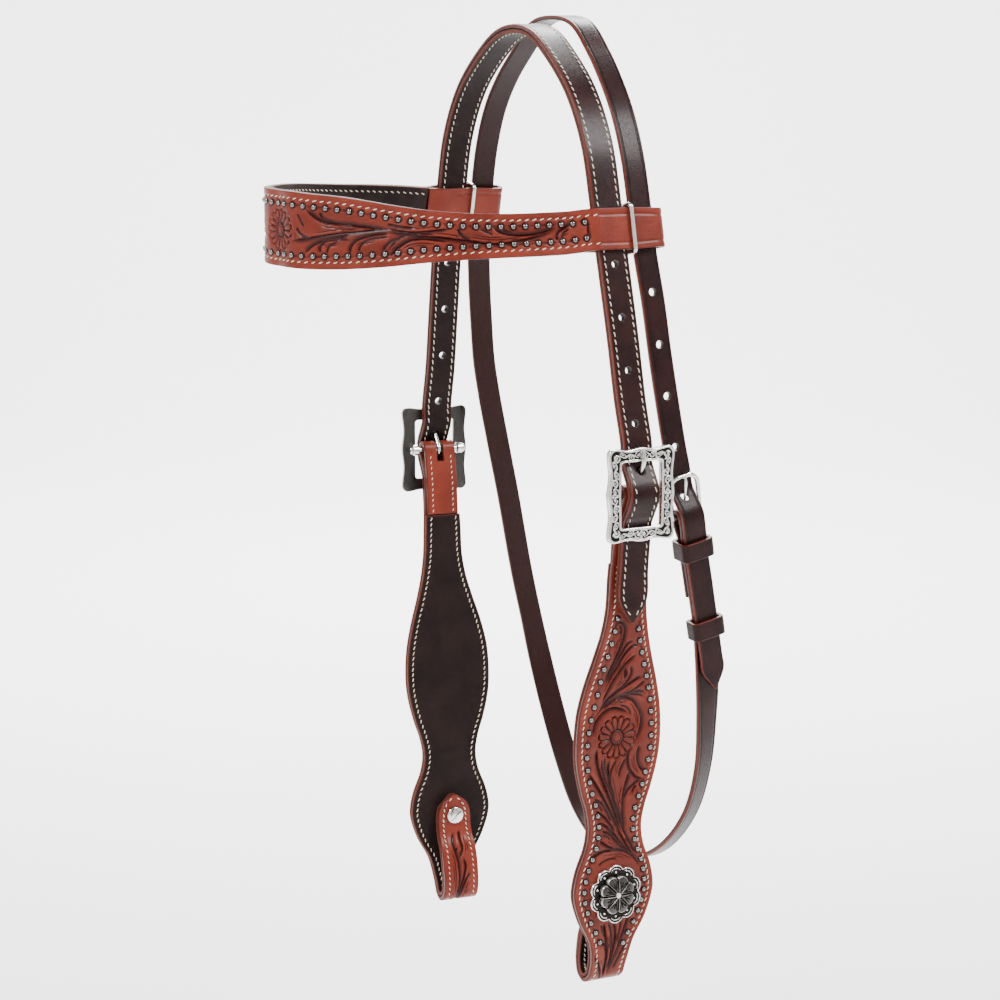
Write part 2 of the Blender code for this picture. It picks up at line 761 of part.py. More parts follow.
def concho_outline():
    """Return the scalloped edge of the concho."""
    points = []
    per_scallop = 6
    for step in range(concho_scallops * per_scallop):
        share = step / per_scallop
        bulge = abs(math.sin(math.pi * share))
        radius = concho_radius - concho_scallop_depth * (1 - bulge)
        angle = 2 * math.pi * share / concho_scallops
        points.append((radius * math.cos(angle), radius * math.sin(angle)))
    return points


def make_concho(side, finishes):
    """Build the concho with its threaded post, and the slotted screw."""
    name = side.name
    cheek_surface = -face_line_in + cheek_layer / 2
    strip_surface = -face_line_in - loop_return_step() - cheek_layer / 2
    seat = side.hang(cheek_surface + touch_gap, screw_drop)
    post_length = cheek_surface + touch_gap - strip_surface
    across = side.back_way * side.sign
    matrix = axis_matrix(seat, side.out_way, across)
    profile = [(0, concho_height)]
    blank = concho_radius * concho_blank_share
    dome_steps = 5
    for step in range(1, dome_steps + 1):
        angle = math.pi / 2 * step / dome_steps
        profile.append((blank * math.sin(angle),
                        concho_rim + (concho_height - concho_rim) * math.cos(angle)))
    profile += [(blank, 0), (post_radius, 0), (post_radius, -post_length),
                (post_bore_radius, -post_length), (post_bore_radius, -touch_gap), (0, -touch_gap)]
    concho = add_part(f"{name}_concho", turned_mesh(f"{name}_concho", profile),
                      finishes["antique_silver"], matrix)
    trim = plate_mesh(f"{name}_concho_trim", (rim_ring(), concho_outline()),
                      4 * concho_height, 0)
    cutter = add_cutter(f"{name}_concho_trim", trim, matrix)
    combine(concho, cutter, "DIFFERENCE")
    head_seat = side.hang(strip_surface - touch_gap, screw_drop)
    shank = post_length - 2 * touch_gap - concho_rim
    screw_profile = ((0, shank), (screw_shank_radius, shank), (screw_shank_radius, 0),
                     (screw_head_radius, 0), (screw_head_radius, -screw_head_height / 2),
                     (screw_head_radius * head_round_share, -screw_head_height),
                     (0, -screw_head_height))
    screw_matrix = axis_matrix(head_seat, side.out_way, across)
    screw = add_part(f"{name}_concho_screw", turned_mesh(f"{name}_concho_screw", screw_profile),
                     finishes["steel"], screw_matrix)
    slot = box_cutter(f"{name}_screw_slot", head_seat - side.out_way * screw_head_height,
                      side.out_way, side.back_way + UP,
                      (2 * screw_head_radius + cut_overrun, screw_slot_width,
                       2 * screw_slot_depth))
    combine(screw, slot, "DIFFERENCE")


def rim_ring():
    """Return the outer circle of the concho's trimming ring."""
    reach = concho_radius * concho_trim_share
    return [(reach * math.cos(2 * math.pi * k / fine_segments),
             reach * math.sin(2 * math.pi * k / fine_segments)) for k in range(fine_segments)]


class Eye:
    """The flat eye at one end of the browband, round both straps."""

    def __init__(self, name, crown, throat):
        sign, height = side_sign[name], -browband_eye_drop[name]
        station = station_at_height(crown, height, sign)
        self.sign = sign
        self.centre = station[0]
        self.out_way = station[2]
        self.up_way = BACK.cross(self.out_way) * -sign
        self.up_way = self.up_way if self.up_way.z > 0 else -self.up_way
        throat_place = station_at_height(throat, height, sign)[0]
        self.rear = (throat_place - self.centre).y + throat_width / 2 + touch_gap
        self.half_gap = crown_stack / 2 + touch_gap
        self.layer_out = self.half_gap + browband_layer / 2

    def at(self, out, back):
        """Return the world place for a distance out and back from the crown strap."""
        return self.centre + self.out_way * out + BACK * back


def browband_knots(eyes):
    """Return the browband's tooled layer from the right flap to the left flap."""
    right = eye_knots(eyes["right"])
    left = eye_knots(eyes["left"])
    front = []
    for name in ("right", "left"):
        eye = eyes[name]
        side_front = []
        rows = zip(browband_plan_spread_shares, browband_plan_reach_shares[name],
                   browband_height_shares, browband_sink_shares[name], browband_lean_shares)
        for spread, reach, height, sink, lean in rows:
            place = Vector((eye.centre.x * spread, -browband_reach * reach,
                            -browband_drop * sink))
            side_front.append(knot(place, UP.lerp(eye.up_way, lean),
                                   browband_half_height * height))
        front.append(side_front)
    return right + front[0][:0:-1] + front[1] + left[::-1]


def eye_knots(eye):
    """Return one end's knots: flap end, rear fold and outer side to the tooling."""
    tall = browband_end_half_height
    rear_tall = browband_rear_half_height
    front_out = eye.layer_out * browband_meet_share
    flap_front = front_out - browband_layer - touch_gap
    strap_front = crown_width / 2
    knots = [knot(eye.at(flap_front, -browband_eye_front), eye.up_way, tall),
             knot(eye.at(flap_front - touch_gap, -browband_eye_front * browband_flap_share),
                  eye.up_way, tall),
             knot(eye.at(-eye.layer_out, -strap_front - touch_gap), eye.up_way, tall),
             knot(eye.at(-eye.layer_out, 0), eye.up_way, tall),
             knot(eye.at(-eye.layer_out, eye.rear / 2), eye.up_way, tall)]
    fold_steps = 6
    for step in range(fold_steps + 1):
        angle = math.pi / 2 - math.pi * step / fold_steps
        knots.append(knot(eye.at(-eye.layer_out * math.sin(angle),
                                 eye.rear + eye.layer_out * math.cos(angle)),
                          eye.up_way, rear_tall))
    knots += [knot(eye.at(eye.layer_out, eye.rear / 2), eye.up_way, tall),
              knot(eye.at(eye.layer_out, 0), eye.up_way, tall),
              knot(eye.at(eye.layer_out, -strap_front - touch_gap), eye.up_way, tall),
              knot(eye.at(front_out, -browband_eye_front), eye.up_way, tall)]
    return knots


def make_browband(crown, throat, finishes):
    """Build the browband, its lining and the two wire clips."""
    eyes = {name: Eye(name, crown, throat) for name in side_sign}
    stations = frames(spline(browband_knots(eyes)))
    add_strip("browband_face", stations, 0, browband_layer, finishes["tooled_leather"])
    inset = -(browband_layer + browband_lining_layer) / 2 - touch_gap
    lined = lined_stations(stations, eyes)
    add_strip("browband_lining", lined, inset, browband_lining_layer, finishes["lining"])
    for name, eye in eyes.items():
        make_clip(name, eye, finishes)


def lined_stations(stations, eyes):
    """Return the browband's stations between the ends of its two flaps."""
    limit = -browband_eye_front - 2 * strap_clearance
    outer = []
    for station in stations:
        eye = eyes["left" if station[0].x > 0 else "right"]
        if station[0].y - eye.centre.y < limit:
            outer.append(station)
    return outer


def make_clip(name, eye, finishes):
    """Build the wire clip that closes an eye between its two straps."""
    rise = browband_end_half_height + touch_gap + clip_wire_radius
    reach = eye.layer_out + browband_layer / 2 + touch_gap + clip_wire_radius
    gap_back = (crown_width / 2 + eye.rear - throat_width - touch_gap) / 2
    points = [Vector((x, y, 0)) for x, y in rounded_rectangle(2 * reach, 2 * rise, clip_corner)]
    matrix = axis_matrix(eye.at(0, gap_back), BACK, eye.out_way)
    add_part(f"{name}_browband_clip",
             tube_mesh(f"{name}_browband_clip", points, clip_wire_radius, closed=True),
             finishes["steel"], matrix)


class ThroatBuckle:
    """Axes of the throatlatch buckle, from its heel bar."""

    def __init__(self):
        self.bar = Vector((throat_bar_spread, throat_bar_back, -throat_bar_drop))
        self.up_way = Vector((0, -math.sin(throat_slope), math.cos(throat_slope)))
        self.back_way = Vector((0, math.cos(throat_slope), math.sin(throat_slope)))
        self.out_way = Vector((1, 0, 0))

    def at(self, out, rise):
        """Return the world place for a distance out and a rise along the strap."""
        return self.bar + self.out_way * out + self.up_way * rise

    def frame_matrix(self):
        """Return the frame's matrix: X across, Y up its lean and Z outward."""
        up = (self.up_way * math.cos(throat_frame_lean)
              + self.out_way * math.sin(throat_frame_lean))
        out = self.back_way.cross(up)
        matrix = Matrix((self.back_way, up, out)).transposed().to_4x4()
        matrix.translation = self.bar
        return matrix


layer_step = throat_layer + layer_gap
chape_radius = throat_bar_radius + fold_clearance + throat_layer / 2
billet_crest = chape_radius + throat_layer + 2 * touch_gap
frame_end_out = throat_frame_length * math.sin(throat_frame_lean)


def throat_knot(spread_share, reach_share, drop_share, turn_share, sign):
    """Return a knot on the throatlatch's free run."""
    place = Vector((sign * throat_spread * spread_share, throat_reach * reach_share,
                    throat_rise - throat_drop * drop_share))
    turn = throat_turn * turn_share
    across = Vector((-sign * math.sin(turn), math.cos(turn), 0))
    return knot(place, across, throat_width / 2)


def throat_knots(buckle):
    """Return the throatlatch from its turned-back end round the head to its billet tip."""
    half = throat_width / 2
    level = (0.0,) * len(throat_spread_shares)
    upper = list(zip(throat_spread_shares, throat_reach_shares, throat_drop_shares, level))
    lower = list(zip(throat_side_spread_shares, throat_side_reach_shares,
                     throat_side_drop_shares, throat_side_turn_shares))
    knots = []
    main_lower = main_run()
    across = buckle.back_way
    for share in turnback_shares:
        rise = -turnback_length * share
        knots.append(knot(buckle.at(main_out(rise) - layer_step, rise), across, half))
    neck_out, neck_drop = turnback_neck_shares
    knots.append(knot(buckle.at(-chape_radius * neck_out, -turnback_length * neck_drop),
                      across, half))
    fold_steps = 6
    for step in range(fold_steps + 1):
        angle = math.pi * (1 - step / fold_steps)
        knots.append(knot(buckle.at(chape_radius * math.cos(angle),
                                    chape_radius * math.sin(angle)), across, half))
    for out, rise in main_lower:
        knots.append(knot(buckle.at(out, rise), across, half))
    knots += [throat_knot(*row, 1) for row in lower[3:]]
    knots += [throat_knot(*row, -1) for row in lower[-2::-1] + upper[::-1]]
    knots += [throat_knot(*row, 1) for row in upper[1:-2]]
    under = frame_end_out - throat_frame_depth / 2 - 2 * touch_gap - throat_layer / 2
    high, low = (throat_frame_length * share for share in billet_under_shares)
    knots.append(knot(buckle.at(under - touch_gap, high), across, half))
    knots.append(knot(buckle.at(under, low), across, half))
    for out, rise in climb_points(0, billet_crest, under - throat_layer / 3) + [(billet_crest, 0)]:
        knots.append(knot(buckle.at(out, rise), across, half))
    for out, rise in main_lower:
        knots.append(knot(buckle.at(out + layer_step, rise), across, half))
    tip_rows = ((billet_point * billet_start_share, half), (billet_point, half),
                (billet_point / 2, half * tip_width_share), (0, billet_tip_width / 2))
    for short, width in tip_rows:
        rise = short - billet_length
        knots.append(knot(buckle.at(main_out(rise) + layer_step, rise), across, width))
    return knots


main_rise_shares = (-0.08, -0.3, -0.62, -1.0)
main_out_shares = (1.0, 0.35, 0.0, -0.5)
main_end_share = -1.25


def main_run():
    """Return (out, rise) of the chape's outer layer just below the buckle."""
    return [(chape_radius * out, lower_keeper_drop * rise)
            for out, rise in zip(main_out_shares, main_rise_shares)]


def main_out(rise):
    """Return how far out the chape's outer layer lies at a rise below the heel bar."""
    rises = [-billet_length, *(lower_keeper_drop * r for r in main_rise_shares[::-1])]
    outs = [chape_radius * main_end_share, *(chape_radius * o for o in main_out_shares[::-1])]
    return float(np.interp(rise, rises, outs))


def throat_frame_outlines():
    """Return the throatlatch frame's round-topped edge and its window."""
    half = throat_frame_width / 2
    stock = throat_frame_stock
    bar = throat_bar_radius
    arc_steps = 4

    def arch(width, top, foot, corner):
        """Return a straight-sided outline with two round top corners."""
        points = [(width, foot)]
        for centre_x, start in ((width - corner, 0), (corner - width, math.pi / 2)):
            for step in range(arc_steps + 1):
                angle = start + math.pi / 2 * step / arc_steps
                points.append((centre_x + corner * math.cos(angle),
                               top - corner + corner * math.sin(angle)))
        points.append((-width, foot))
        return points

    edge = arch(half, throat_frame_length + stock / 2, -bar, throat_frame_corner)
    window = arch(half - stock, throat_frame_length - stock / 2, bar,
                  throat_frame_corner - stock)
    return edge, window


def make_throat_buckle(buckle, finishes):
    """Build the throatlatch's small frame and its tongue."""
    plate = plate_mesh("throatlatch_buckle_frame", throat_frame_outlines(),
                       throat_frame_depth, frame_round)
    add_part("throatlatch_buckle_frame", plate, finishes["steel"], buckle.frame_matrix())
    low = throat_frame_length - throat_frame_stock
    front = frame_end_out + throat_frame_depth / 2
    points = tongue_points(0, throat_bar_radius + touch_gap + throat_tongue_radius,
                           throat_tongue_radius, front, low,
                           throat_frame_length + throat_frame_stock / 4)
    places = [buckle.at(out, rise) - buckle.bar for out, rise in points]
    add_part("throatlatch_buckle_tongue",
             tube_mesh("throatlatch_buckle_tongue", places, throat_tongue_radius),
             finishes["steel"], Matrix.Translation(buckle.bar))
    return [buckle.at(out, rise) for out, rise in points[-4:-2]]


def ring_mesh(name, inner_width, inner_depth):
    """Return a keeper: a flat leather ring extruded to its height."""
    inner = rounded_rectangle(inner_width, inner_depth, keeper_wall / 2)
    outer = rounded_rectangle(inner_width + 2 * keeper_wall, inner_depth + 2 * keeper_wall,
                              keeper_wall * keeper_corner_share)
    return plate_mesh(name, (outer, inner), keeper_height, touch_gap)


def make_keeper(name, buckle, drop, layers, shift, finishes):
    """Build one keeper round a number of strap layers."""
    depth = (layers - 1) * layer_step + throat_layer + 2 * strap_clearance
    width = throat_width + 2 * strap_clearance
    place = buckle.at(main_out(-drop) + shift, -drop)
    lower = buckle.at(main_out(-drop - keeper_height) + shift, -drop - keeper_height)
    upper = buckle.at(main_out(-drop + keeper_height) + shift, -drop + keeper_height)
    matrix = axis_matrix(place, upper - lower, buckle.back_way)
    add_part(name, ring_mesh(name, width, depth), finishes["dark_leather"], matrix)


def make_throatlatch(buckle, finishes):
    """Build the throatlatch strap with its holes, buckle and keepers."""
    stations = frames(spline(throat_knots(buckle)))
    strap = add_strip("throatlatch_strap", stations, 0, throat_layer, finishes["dark_leather"])
    foot, head = make_throat_buckle(buckle, finishes)
    spots = [(foot.lerp(head, 0.5), head - foot, tongue_hole_diameter)]
    for count in range(1, throat_hole_count + 1):
        height = foot.lerp(head, 0.5).z + count * hole_pitch
        place, _, normal, _ = station_at_height(stations, height, 1)
        spots.append((place, normal, hole_diameter))
    for number, (place, axis, diameter) in enumerate(spots):
        cutter = cylinder_cutter(f"throatlatch_hole_{number}", place, axis, diameter / 2,
                                 3 * throat_layer)
        combine(strap, cutter, "DIFFERENCE")
    slot = box_cutter("chape_slot",
                      buckle.bar + buckle.up_way * (chape_radius + throat_layer
                                                    - chape_slot_drop) / 2,
                      buckle.up_way, buckle.back_way,
                      (chape_slot_width, 2 * (chape_radius + throat_layer / 2 + touch_gap / 2),
                       chape_radius + throat_layer / 2 + touch_gap / 2 + chape_slot_drop))
    combine(strap, slot, "DIFFERENCE")
    make_keeper("throatlatch_upper_keeper", buckle, upper_keeper_drop, 3, 0, finishes)
    make_keeper("throatlatch_lower_keeper", buckle, lower_keeper_drop, 2, layer_step / 2,
                finishes)
    return stations


def make_finishes():
    """Return the headstall's materials by name."""
    return {
        "tooled_leather": material("tooled_leather", (0.32, 0.06, 0.025), 0.45, 0),
        "dark_leather": material("dark_leather", (0.04, 0.014, 0.012), 0.4, 0),
        "lining": material("lining_leather", (0.03, 0.016, 0.015), 0.6, 0),
        "antique_silver": material("antique_silver", (0.42, 0.41, 0.39), 0.3, 1),
        "steel": material("polished_steel", (0.62, 0.61, 0.6), 0.2, 1),
    }


def main():
    """Build the headstall."""
    fresh_scene()
    finishes = make_finishes()
    sides = {name: Side(name) for name in side_sign}
    crown = make_crown(sides, finishes)
    throat = make_throatlatch(ThroatBuckle(), finishes)
    make_browband(crown, throat, finishes)
    for side in sides.values():
        make_cart_buckle(side, finishes)
        make_cheek(side, finishes)


main()
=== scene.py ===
import json
import logging
import math
from contextlib import contextmanager
from dataclasses import dataclass
from enum import Enum
from typing import Callable, Iterator, Sequence

import bpy
import numpy as np
from mathutils import Matrix, Vector

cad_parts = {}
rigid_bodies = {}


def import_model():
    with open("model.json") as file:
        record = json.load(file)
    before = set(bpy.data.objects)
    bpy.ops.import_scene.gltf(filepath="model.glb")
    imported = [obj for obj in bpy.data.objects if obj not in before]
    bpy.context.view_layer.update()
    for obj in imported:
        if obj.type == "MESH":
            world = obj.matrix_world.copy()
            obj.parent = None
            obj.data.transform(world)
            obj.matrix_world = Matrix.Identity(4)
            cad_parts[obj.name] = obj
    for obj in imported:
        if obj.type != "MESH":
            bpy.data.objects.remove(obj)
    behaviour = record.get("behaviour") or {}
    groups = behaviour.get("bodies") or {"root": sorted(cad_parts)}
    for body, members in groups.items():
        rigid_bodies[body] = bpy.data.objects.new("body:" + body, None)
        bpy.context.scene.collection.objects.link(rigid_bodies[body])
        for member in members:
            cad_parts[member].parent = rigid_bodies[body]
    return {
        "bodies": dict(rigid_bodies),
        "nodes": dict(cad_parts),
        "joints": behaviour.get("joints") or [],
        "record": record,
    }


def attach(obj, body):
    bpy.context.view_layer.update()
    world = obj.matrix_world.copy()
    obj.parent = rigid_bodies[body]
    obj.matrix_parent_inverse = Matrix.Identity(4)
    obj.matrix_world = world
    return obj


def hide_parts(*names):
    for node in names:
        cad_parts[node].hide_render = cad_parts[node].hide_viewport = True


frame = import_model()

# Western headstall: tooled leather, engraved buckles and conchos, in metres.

Array = np.ndarray
Relief = Callable[[Array, Array, Array], tuple[Array, Array]]
UP = np.array((0.0, 0.0, 1.0))
BACK = np.array((0.0, 1.0, 0.0))
MM = 0.001
log = logging.getLogger("headstall")


class Hand(Enum):
    """The horse's own left and right."""
    LEFT = 1
    RIGHT = -1

    @property
    def word(self) -> str:
        """The hand as it is written in piece names."""
        return self.name.lower()


class Slot(Enum):
    """The record's material slots."""
    TOOLED = "tooled_leather"
    DARK = "dark_leather"
    LINING = "lining_leather"
    SILVER = "antique_silver"
    STEEL = "polished_steel"


@dataclass(frozen=True)
class Stock:
    """Leather layers and the gaps between them."""
    gap: float = 0.0003
    loose: float = 0.0008
    layer_gap: float = 0.00036
    fold: float = 0.0005
    crown_width: float = 0.0159
    crown: float = 0.0021
    throat_width: float = 0.0127
    throat: float = 0.0023
    browband: float = 0.0022
    browband_lining: float = 0.0018
    cheek: float = 0.0023
    cheek_lining: float = 0.0019
    hole: float = 0.004
    tongue_hole: float = 0.0048
    hole_pitch: float = 0.0254

    @property
    def crown_stack(self) -> float:
        """Both crown layers and the gap between them."""
        return 2 * self.crown + self.gap


STOCK = Stock()


def unit(way: Array) -> Array:
    """Return a way of length one, or each row of a table so."""
    return way / np.linalg.norm(way, axis=-1, keepdims=True)


def knot(place: Array, across: Array, half: float) -> Array:
    """Return one row of a route: a place, the way across and half the width."""
    return np.concatenate((place, across, (half,)))


def spline(knots: Sequence[Array], cuts: int) -> Array:
    """Return rows along a centripetal Catmull-Rom spline.

    Args:
        knots: rows whose first three numbers are the place.
        cuts: rows made in each span.

    Returns:
        The rows, the last knot included.
    """
    table = np.array(knots, dtype=float)
    table = np.vstack((2 * table[0] - table[1], table, 2 * table[-1] - table[-2]))
    steps = np.sqrt(np.linalg.norm(np.diff(table[:, :3], axis=0), axis=1))
    times = np.concatenate(([0], np.cumsum(steps)))
    rows = []
    for k in range(1, len(table) - 2):
        t0, t1, t2, t3 = times[k - 1:k + 3]
        p0, p1, p2, p3 = table[k - 1:k + 3]
        t = np.linspace(t1, t2, cuts, endpoint=False)[:, None]
        a1 = p0 + (p1 - p0) * (t - t0) / (t1 - t0)
        a2 = p1 + (p2 - p1) * (t - t1) / (t2 - t1)
        a3 = p2 + (p3 - p2) * (t - t2) / (t3 - t2)
        b1 = a1 + (a2 - a1) * (t - t0) / (t2 - t0)
        b2 = a2 + (a3 - a2) * (t - t1) / (t3 - t1)
        rows.append(b1 + (b2 - b1) * (t - t1) / (t2 - t1))
    return np.vstack(rows + [table[-2:-1]])


class Route:
    """The line that a strap follows: places, ways across, outward ways and half widths."""

    def __init__(self, rows: Array, sign: int = 1) -> None:
        """Take spline rows; sign turns the outward way."""
        self.place = rows[:, :3]
        along = unit(np.gradient(self.place, axis=0))
        across = rows[:, 3:6]
        self.across = unit(across - (across * along).sum(1)[:, None] * along)
        self.normal = sign * np.cross(along, self.across)
        self.half = rows[:, 6]
        steps = np.linalg.norm(np.diff(self.place, axis=0), axis=1)
        self.length = np.concatenate(([0], np.cumsum(steps)))

    @property
    def end(self) -> float:
        """The route's whole length."""
        return float(self.length[-1])

    def at(self, s: Array) -> tuple[Array, Array, Array, Array]:
        """Return places, ways across, outward ways and half widths at distances along."""
        def mixed(table: Array) -> Array:
            """Interpolate a table of vectors."""
            return np.stack([np.interp(s, self.length, table[:, k]) for k in range(3)], -1)
        return (mixed(self.place), unit(mixed(self.across)), unit(mixed(self.normal)),
                np.interp(s, self.length, self.half))

    def surface(self, s: Array, u: Array, level: Array) -> Array:
        """Return the places at distances along, across and out from the route."""
        place, across, normal, _ = self.at(s)
        return place + across * u[..., None] + normal * np.asarray(level)[..., None]

    def at_height(self, height: float, hand: Hand) -> float:
        """Return the distance along of the first place at a height, coming from the top."""
        z = self.place[:, 2]
        top = int(np.argmax(z))
        ahead = 1 if self.place[min(top + 9, len(z) - 1), 0] > self.place[top - 9, 0] else -1
        step, here = ahead * hand.value, top
        while z[here + step] > height:
            here += step
        share = (height - z[here + step]) / (z[here] - z[here + step])
        low, high = self.length[here + step], self.length[here]
        return float(low + (high - low) * share)

    def crossing(self, height: float, start: int = 0) -> float:
        """Return the distance along where the route first falls below a height after a row."""
        z = self.place[:, 2]
        here = next(k for k in range(start + 1, len(z)) if z[k - 1] >= height > z[k])
        share = (z[here - 1] - height) / (z[here - 1] - z[here])
        return float(self.length[here - 1] + (self.length[here] - self.length[here - 1]) * share)


@contextmanager
def editing(piece: bpy.types.Object) -> Iterator[bpy.types.Object]:
    """Hold one piece in edit mode with everything on it selected."""
    bpy.ops.object.select_all(action="DESELECT")
    bpy.context.view_layer.objects.active = piece
    piece.select_set(True)
    bpy.ops.object.mode_set(mode="EDIT")
    bpy.ops.mesh.select_all(action="SELECT")
    try:
        yield piece
    finally:
        bpy.ops.object.mode_set(mode="OBJECT")
        piece.select_set(False)


def named(piece: bpy.types.Object, name: str) -> bpy.types.Object:
    """Give a piece and its mesh one name."""
    piece.name = piece.data.name = name
    return piece


def corners(piece: bpy.types.Object) -> Array:
    """Return a piece's vertex places."""
    co = np.empty(len(piece.data.vertices) * 3)
    piece.data.vertices.foreach_get("co", co)
    return co.reshape(-1, 3)


def put(piece: bpy.types.Object, places: Array) -> None:
    """Move a piece's vertices to new places."""
    piece.data.vertices.foreach_set("co", np.ascontiguousarray(places, dtype=np.float32).ravel())
    piece.data.update()


def note(piece: bpy.types.Object, name: str, rows: Array) -> None:
    """Write three numbers for each vertex as an attribute that the finishes read."""
    layer = piece.data.attributes.new(name, "FLOAT_VECTOR", "POINT")
    layer.data.foreach_set("vector", np.ascontiguousarray(rows, dtype=np.float32).ravel())


def close_up(piece: bpy.types.Object, weld: float = 1e-6) -> None:
    """Merge what lies together, turn the faces outwards and shade them smooth."""
    with editing(piece):
        bpy.ops.mesh.remove_doubles(threshold=weld)
        bpy.ops.mesh.normals_make_consistent(inside=False)
    bpy.ops.object.select_all(action="DESELECT")
    piece.select_set(True)
    bpy.ops.object.shade_smooth_by_angle(angle=math.radians(50))
    piece.select_set(False)


def apply_boolean(piece: bpy.types.Object, other: bpy.types.Object) -> None:
    """Cut a shape out of a piece and drop the shape."""
    bpy.ops.object.select_all(action="DESELECT")
    bpy.context.view_layer.objects.active = piece
    piece.select_set(True)
    step = piece.modifiers.new("cut", "BOOLEAN")
    step.operation, step.solver, step.object = "DIFFERENCE", "EXACT", other
    bpy.ops.object.modifier_apply(modifier=step.name)
    piece.select_set(False)
    mesh = other.data
    bpy.data.objects.remove(other)
    bpy.data.meshes.remove(mesh)


def dress(piece: bpy.types.Object, material: bpy.types.Material, body: str, slot: Slot | None,
          *nodes: str) -> bpy.types.Object:
    """Give a piece its finish, its body and the nodes that it stands for."""
    piece.data.materials.clear()
    piece.data.materials.append(material)
    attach(piece, body)
    if nodes:
        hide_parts(*nodes)
    log.info("%-28s %7d faces on %s", piece.name, len(piece.data.polygons), body)
    return piece


def axes_matrix(place: Array, axis: Array, across: Array) -> Array:
    """Return a 3 by 4 table that turns X to across and Z to the axis, at a place."""
    z = unit(np.asarray(axis, float))
    x = unit(across - (across @ z) * z)
    return np.column_stack((x, np.cross(z, x), z, place))


def placed(table: Array, points: Array) -> Array:
    """Return points turned and moved by an axes table."""
    return points @ table[:, :3].T + table[:, 3]


# Blanks and sweeps

EDGE_INSETS = np.array((0.0, 0.05, 0.16, 0.32, 0.55)) * MM


def paced(length: float, zones: Sequence[tuple[float, float, float]], rest: float,
          multiple: int) -> Array:
    """Return distances along a strap, close together where it has detail.

    Args:
        length: the strap's length.
        zones: start, end and step of each stretch with its own step.
        rest: the step elsewhere.
        multiple: the number of spans is a multiple of this.
    """
    probe = np.linspace(0, length, 4000)
    step = np.full_like(probe, rest)
    for low, high, fine in zones:
        step[(probe >= low) & (probe <= high)] = fine
    count = np.concatenate(([0], np.cumsum(np.diff(probe) / step[1:])))
    spans = int(math.ceil(count[-1] / multiple) * multiple)
    stations = np.interp(np.linspace(0, count[-1], spans + 1), count, probe)
    for k, inset in enumerate(EDGE_INSETS):
        if multiple > 1 or spans > 2 * len(EDGE_INSETS):
            stations[k], stations[-1 - k] = inset, length - inset
    return np.sort(stations)


@dataclass
class Strip:
    """One layer of leather, cut flat and laid along a route."""
    name: str
    route: Route
    level: float
    thickness: float
    stations: Array
    columns: int
    cuts: int = 0
    round: float = 0.0005
    relief: Relief | None = None
    start: float = 0.0
    faced: bool = False

    def blank(self) -> bpy.types.Object:
        """Return the flat blank: its grain side is finer than its flesh side."""
        bpy.ops.object.select_all(action="DESELECT")
        step = self.cuts + 1
        bpy.ops.mesh.primitive_grid_add(x_subdivisions=(len(self.stations) - 1) // step,
                                        y_subdivisions=self.columns // step, size=2)
        piece = named(bpy.context.object, self.name)
        with editing(piece):
            bpy.ops.mesh.extrude_region_move(TRANSFORM_OT_translate={"value": (0, 0, 1)})
            if self.cuts:
                bpy.ops.mesh.subdivide(number_cuts=self.cuts)
        return piece

    def across_share(self, column: Array, half: Array) -> Array:
        """Return how far across each column lies, closer together at the two edges."""
        last = len(EDGE_INSETS) - 1
        m = np.minimum(column, self.columns - column)
        shrink = np.minimum(1, half / (4 * EDGE_INSETS[-1]))
        inset = np.interp(m, np.arange(last + 1), EDGE_INSETS) * shrink
        inner = half - EDGE_INSETS[-1] * shrink
        share = (self.columns / 2 - m) / (self.columns / 2 - last)
        u = np.where(m <= last, half - inset, inner * share)
        return np.where(column * 2 >= self.columns, u, -u)

    def build(self) -> bpy.types.Object:
        """Return the strap, laid along its route with rounded edges and its relief."""
        piece = self.blank()
        flat = corners(piece)
        spans = len(self.stations) - 1
        row = np.rint((flat[:, 0] + 1) / 2 * spans).astype(int)
        column = np.rint((flat[:, 1] + 1) / 2 * self.columns)
        top = flat[:, 2] > 0.5
        s = self.stations[row] + self.start
        half = self.route.at(s)[3]
        u = self.across_share(column, half)
        ends = np.minimum(self.stations[row], self.stations[-1] - self.stations[row])
        edge = np.minimum(half - np.abs(u), ends)
        inside = np.clip(edge / self.round, 0, 1)
        drop = self.round * (1 - np.sqrt(1 - (1 - inside) ** 2))
        height, stain = np.zeros_like(s), np.zeros_like(s)
        if self.relief is not None:
            height[top], stain[top] = self.relief(s[top], u[top], half[top])
        level = self.level + np.where(top, self.thickness / 2 - drop + height,
                                      drop - self.thickness / 2)
        put(piece, self.route.surface(s, u, level))
        note(piece, "flat", np.stack((s, u, level), -1))
        worn = np.clip(1 - edge / (1.1 * MM), 0, 1)
        # the first number is stain, and on tooled faces it also holds painted shade and painted highlight
        note(piece, "tool", np.stack((stain, worn, (top | self.faced).astype(float)), -1))
        close_up(piece)
        return piece


def punch(piece: bpy.types.Object, spots: Sequence[tuple[Array, Array, float]],
          length: float) -> None:
    """Punch round holes through a strap.

    Args:
        piece: the strap.
        spots: place, axis and diameter of each hole.
        length: how long the punch is.
    """
    bpy.ops.object.select_all(action="DESELECT")
    bpy.ops.mesh.primitive_cylinder_add(vertices=28, radius=1, depth=1)
    one = bpy.context.object
    base = corners(one)
    tools = []
    for place, axis, diameter in spots:
        across = UP if abs(unit(axis)[2]) < 0.9 else BACK
        tool = one.copy()
        tool.data = one.data.copy()
        bpy.context.collection.objects.link(tool)
        size = np.array((diameter / 2, diameter / 2, length))
        put(tool, placed(axes_matrix(place, axis, across), base * size))
        tools.append(tool)
    bpy.data.objects.remove(one)
    with joined(tools) as cutter:
        apply_boolean(piece, cutter)


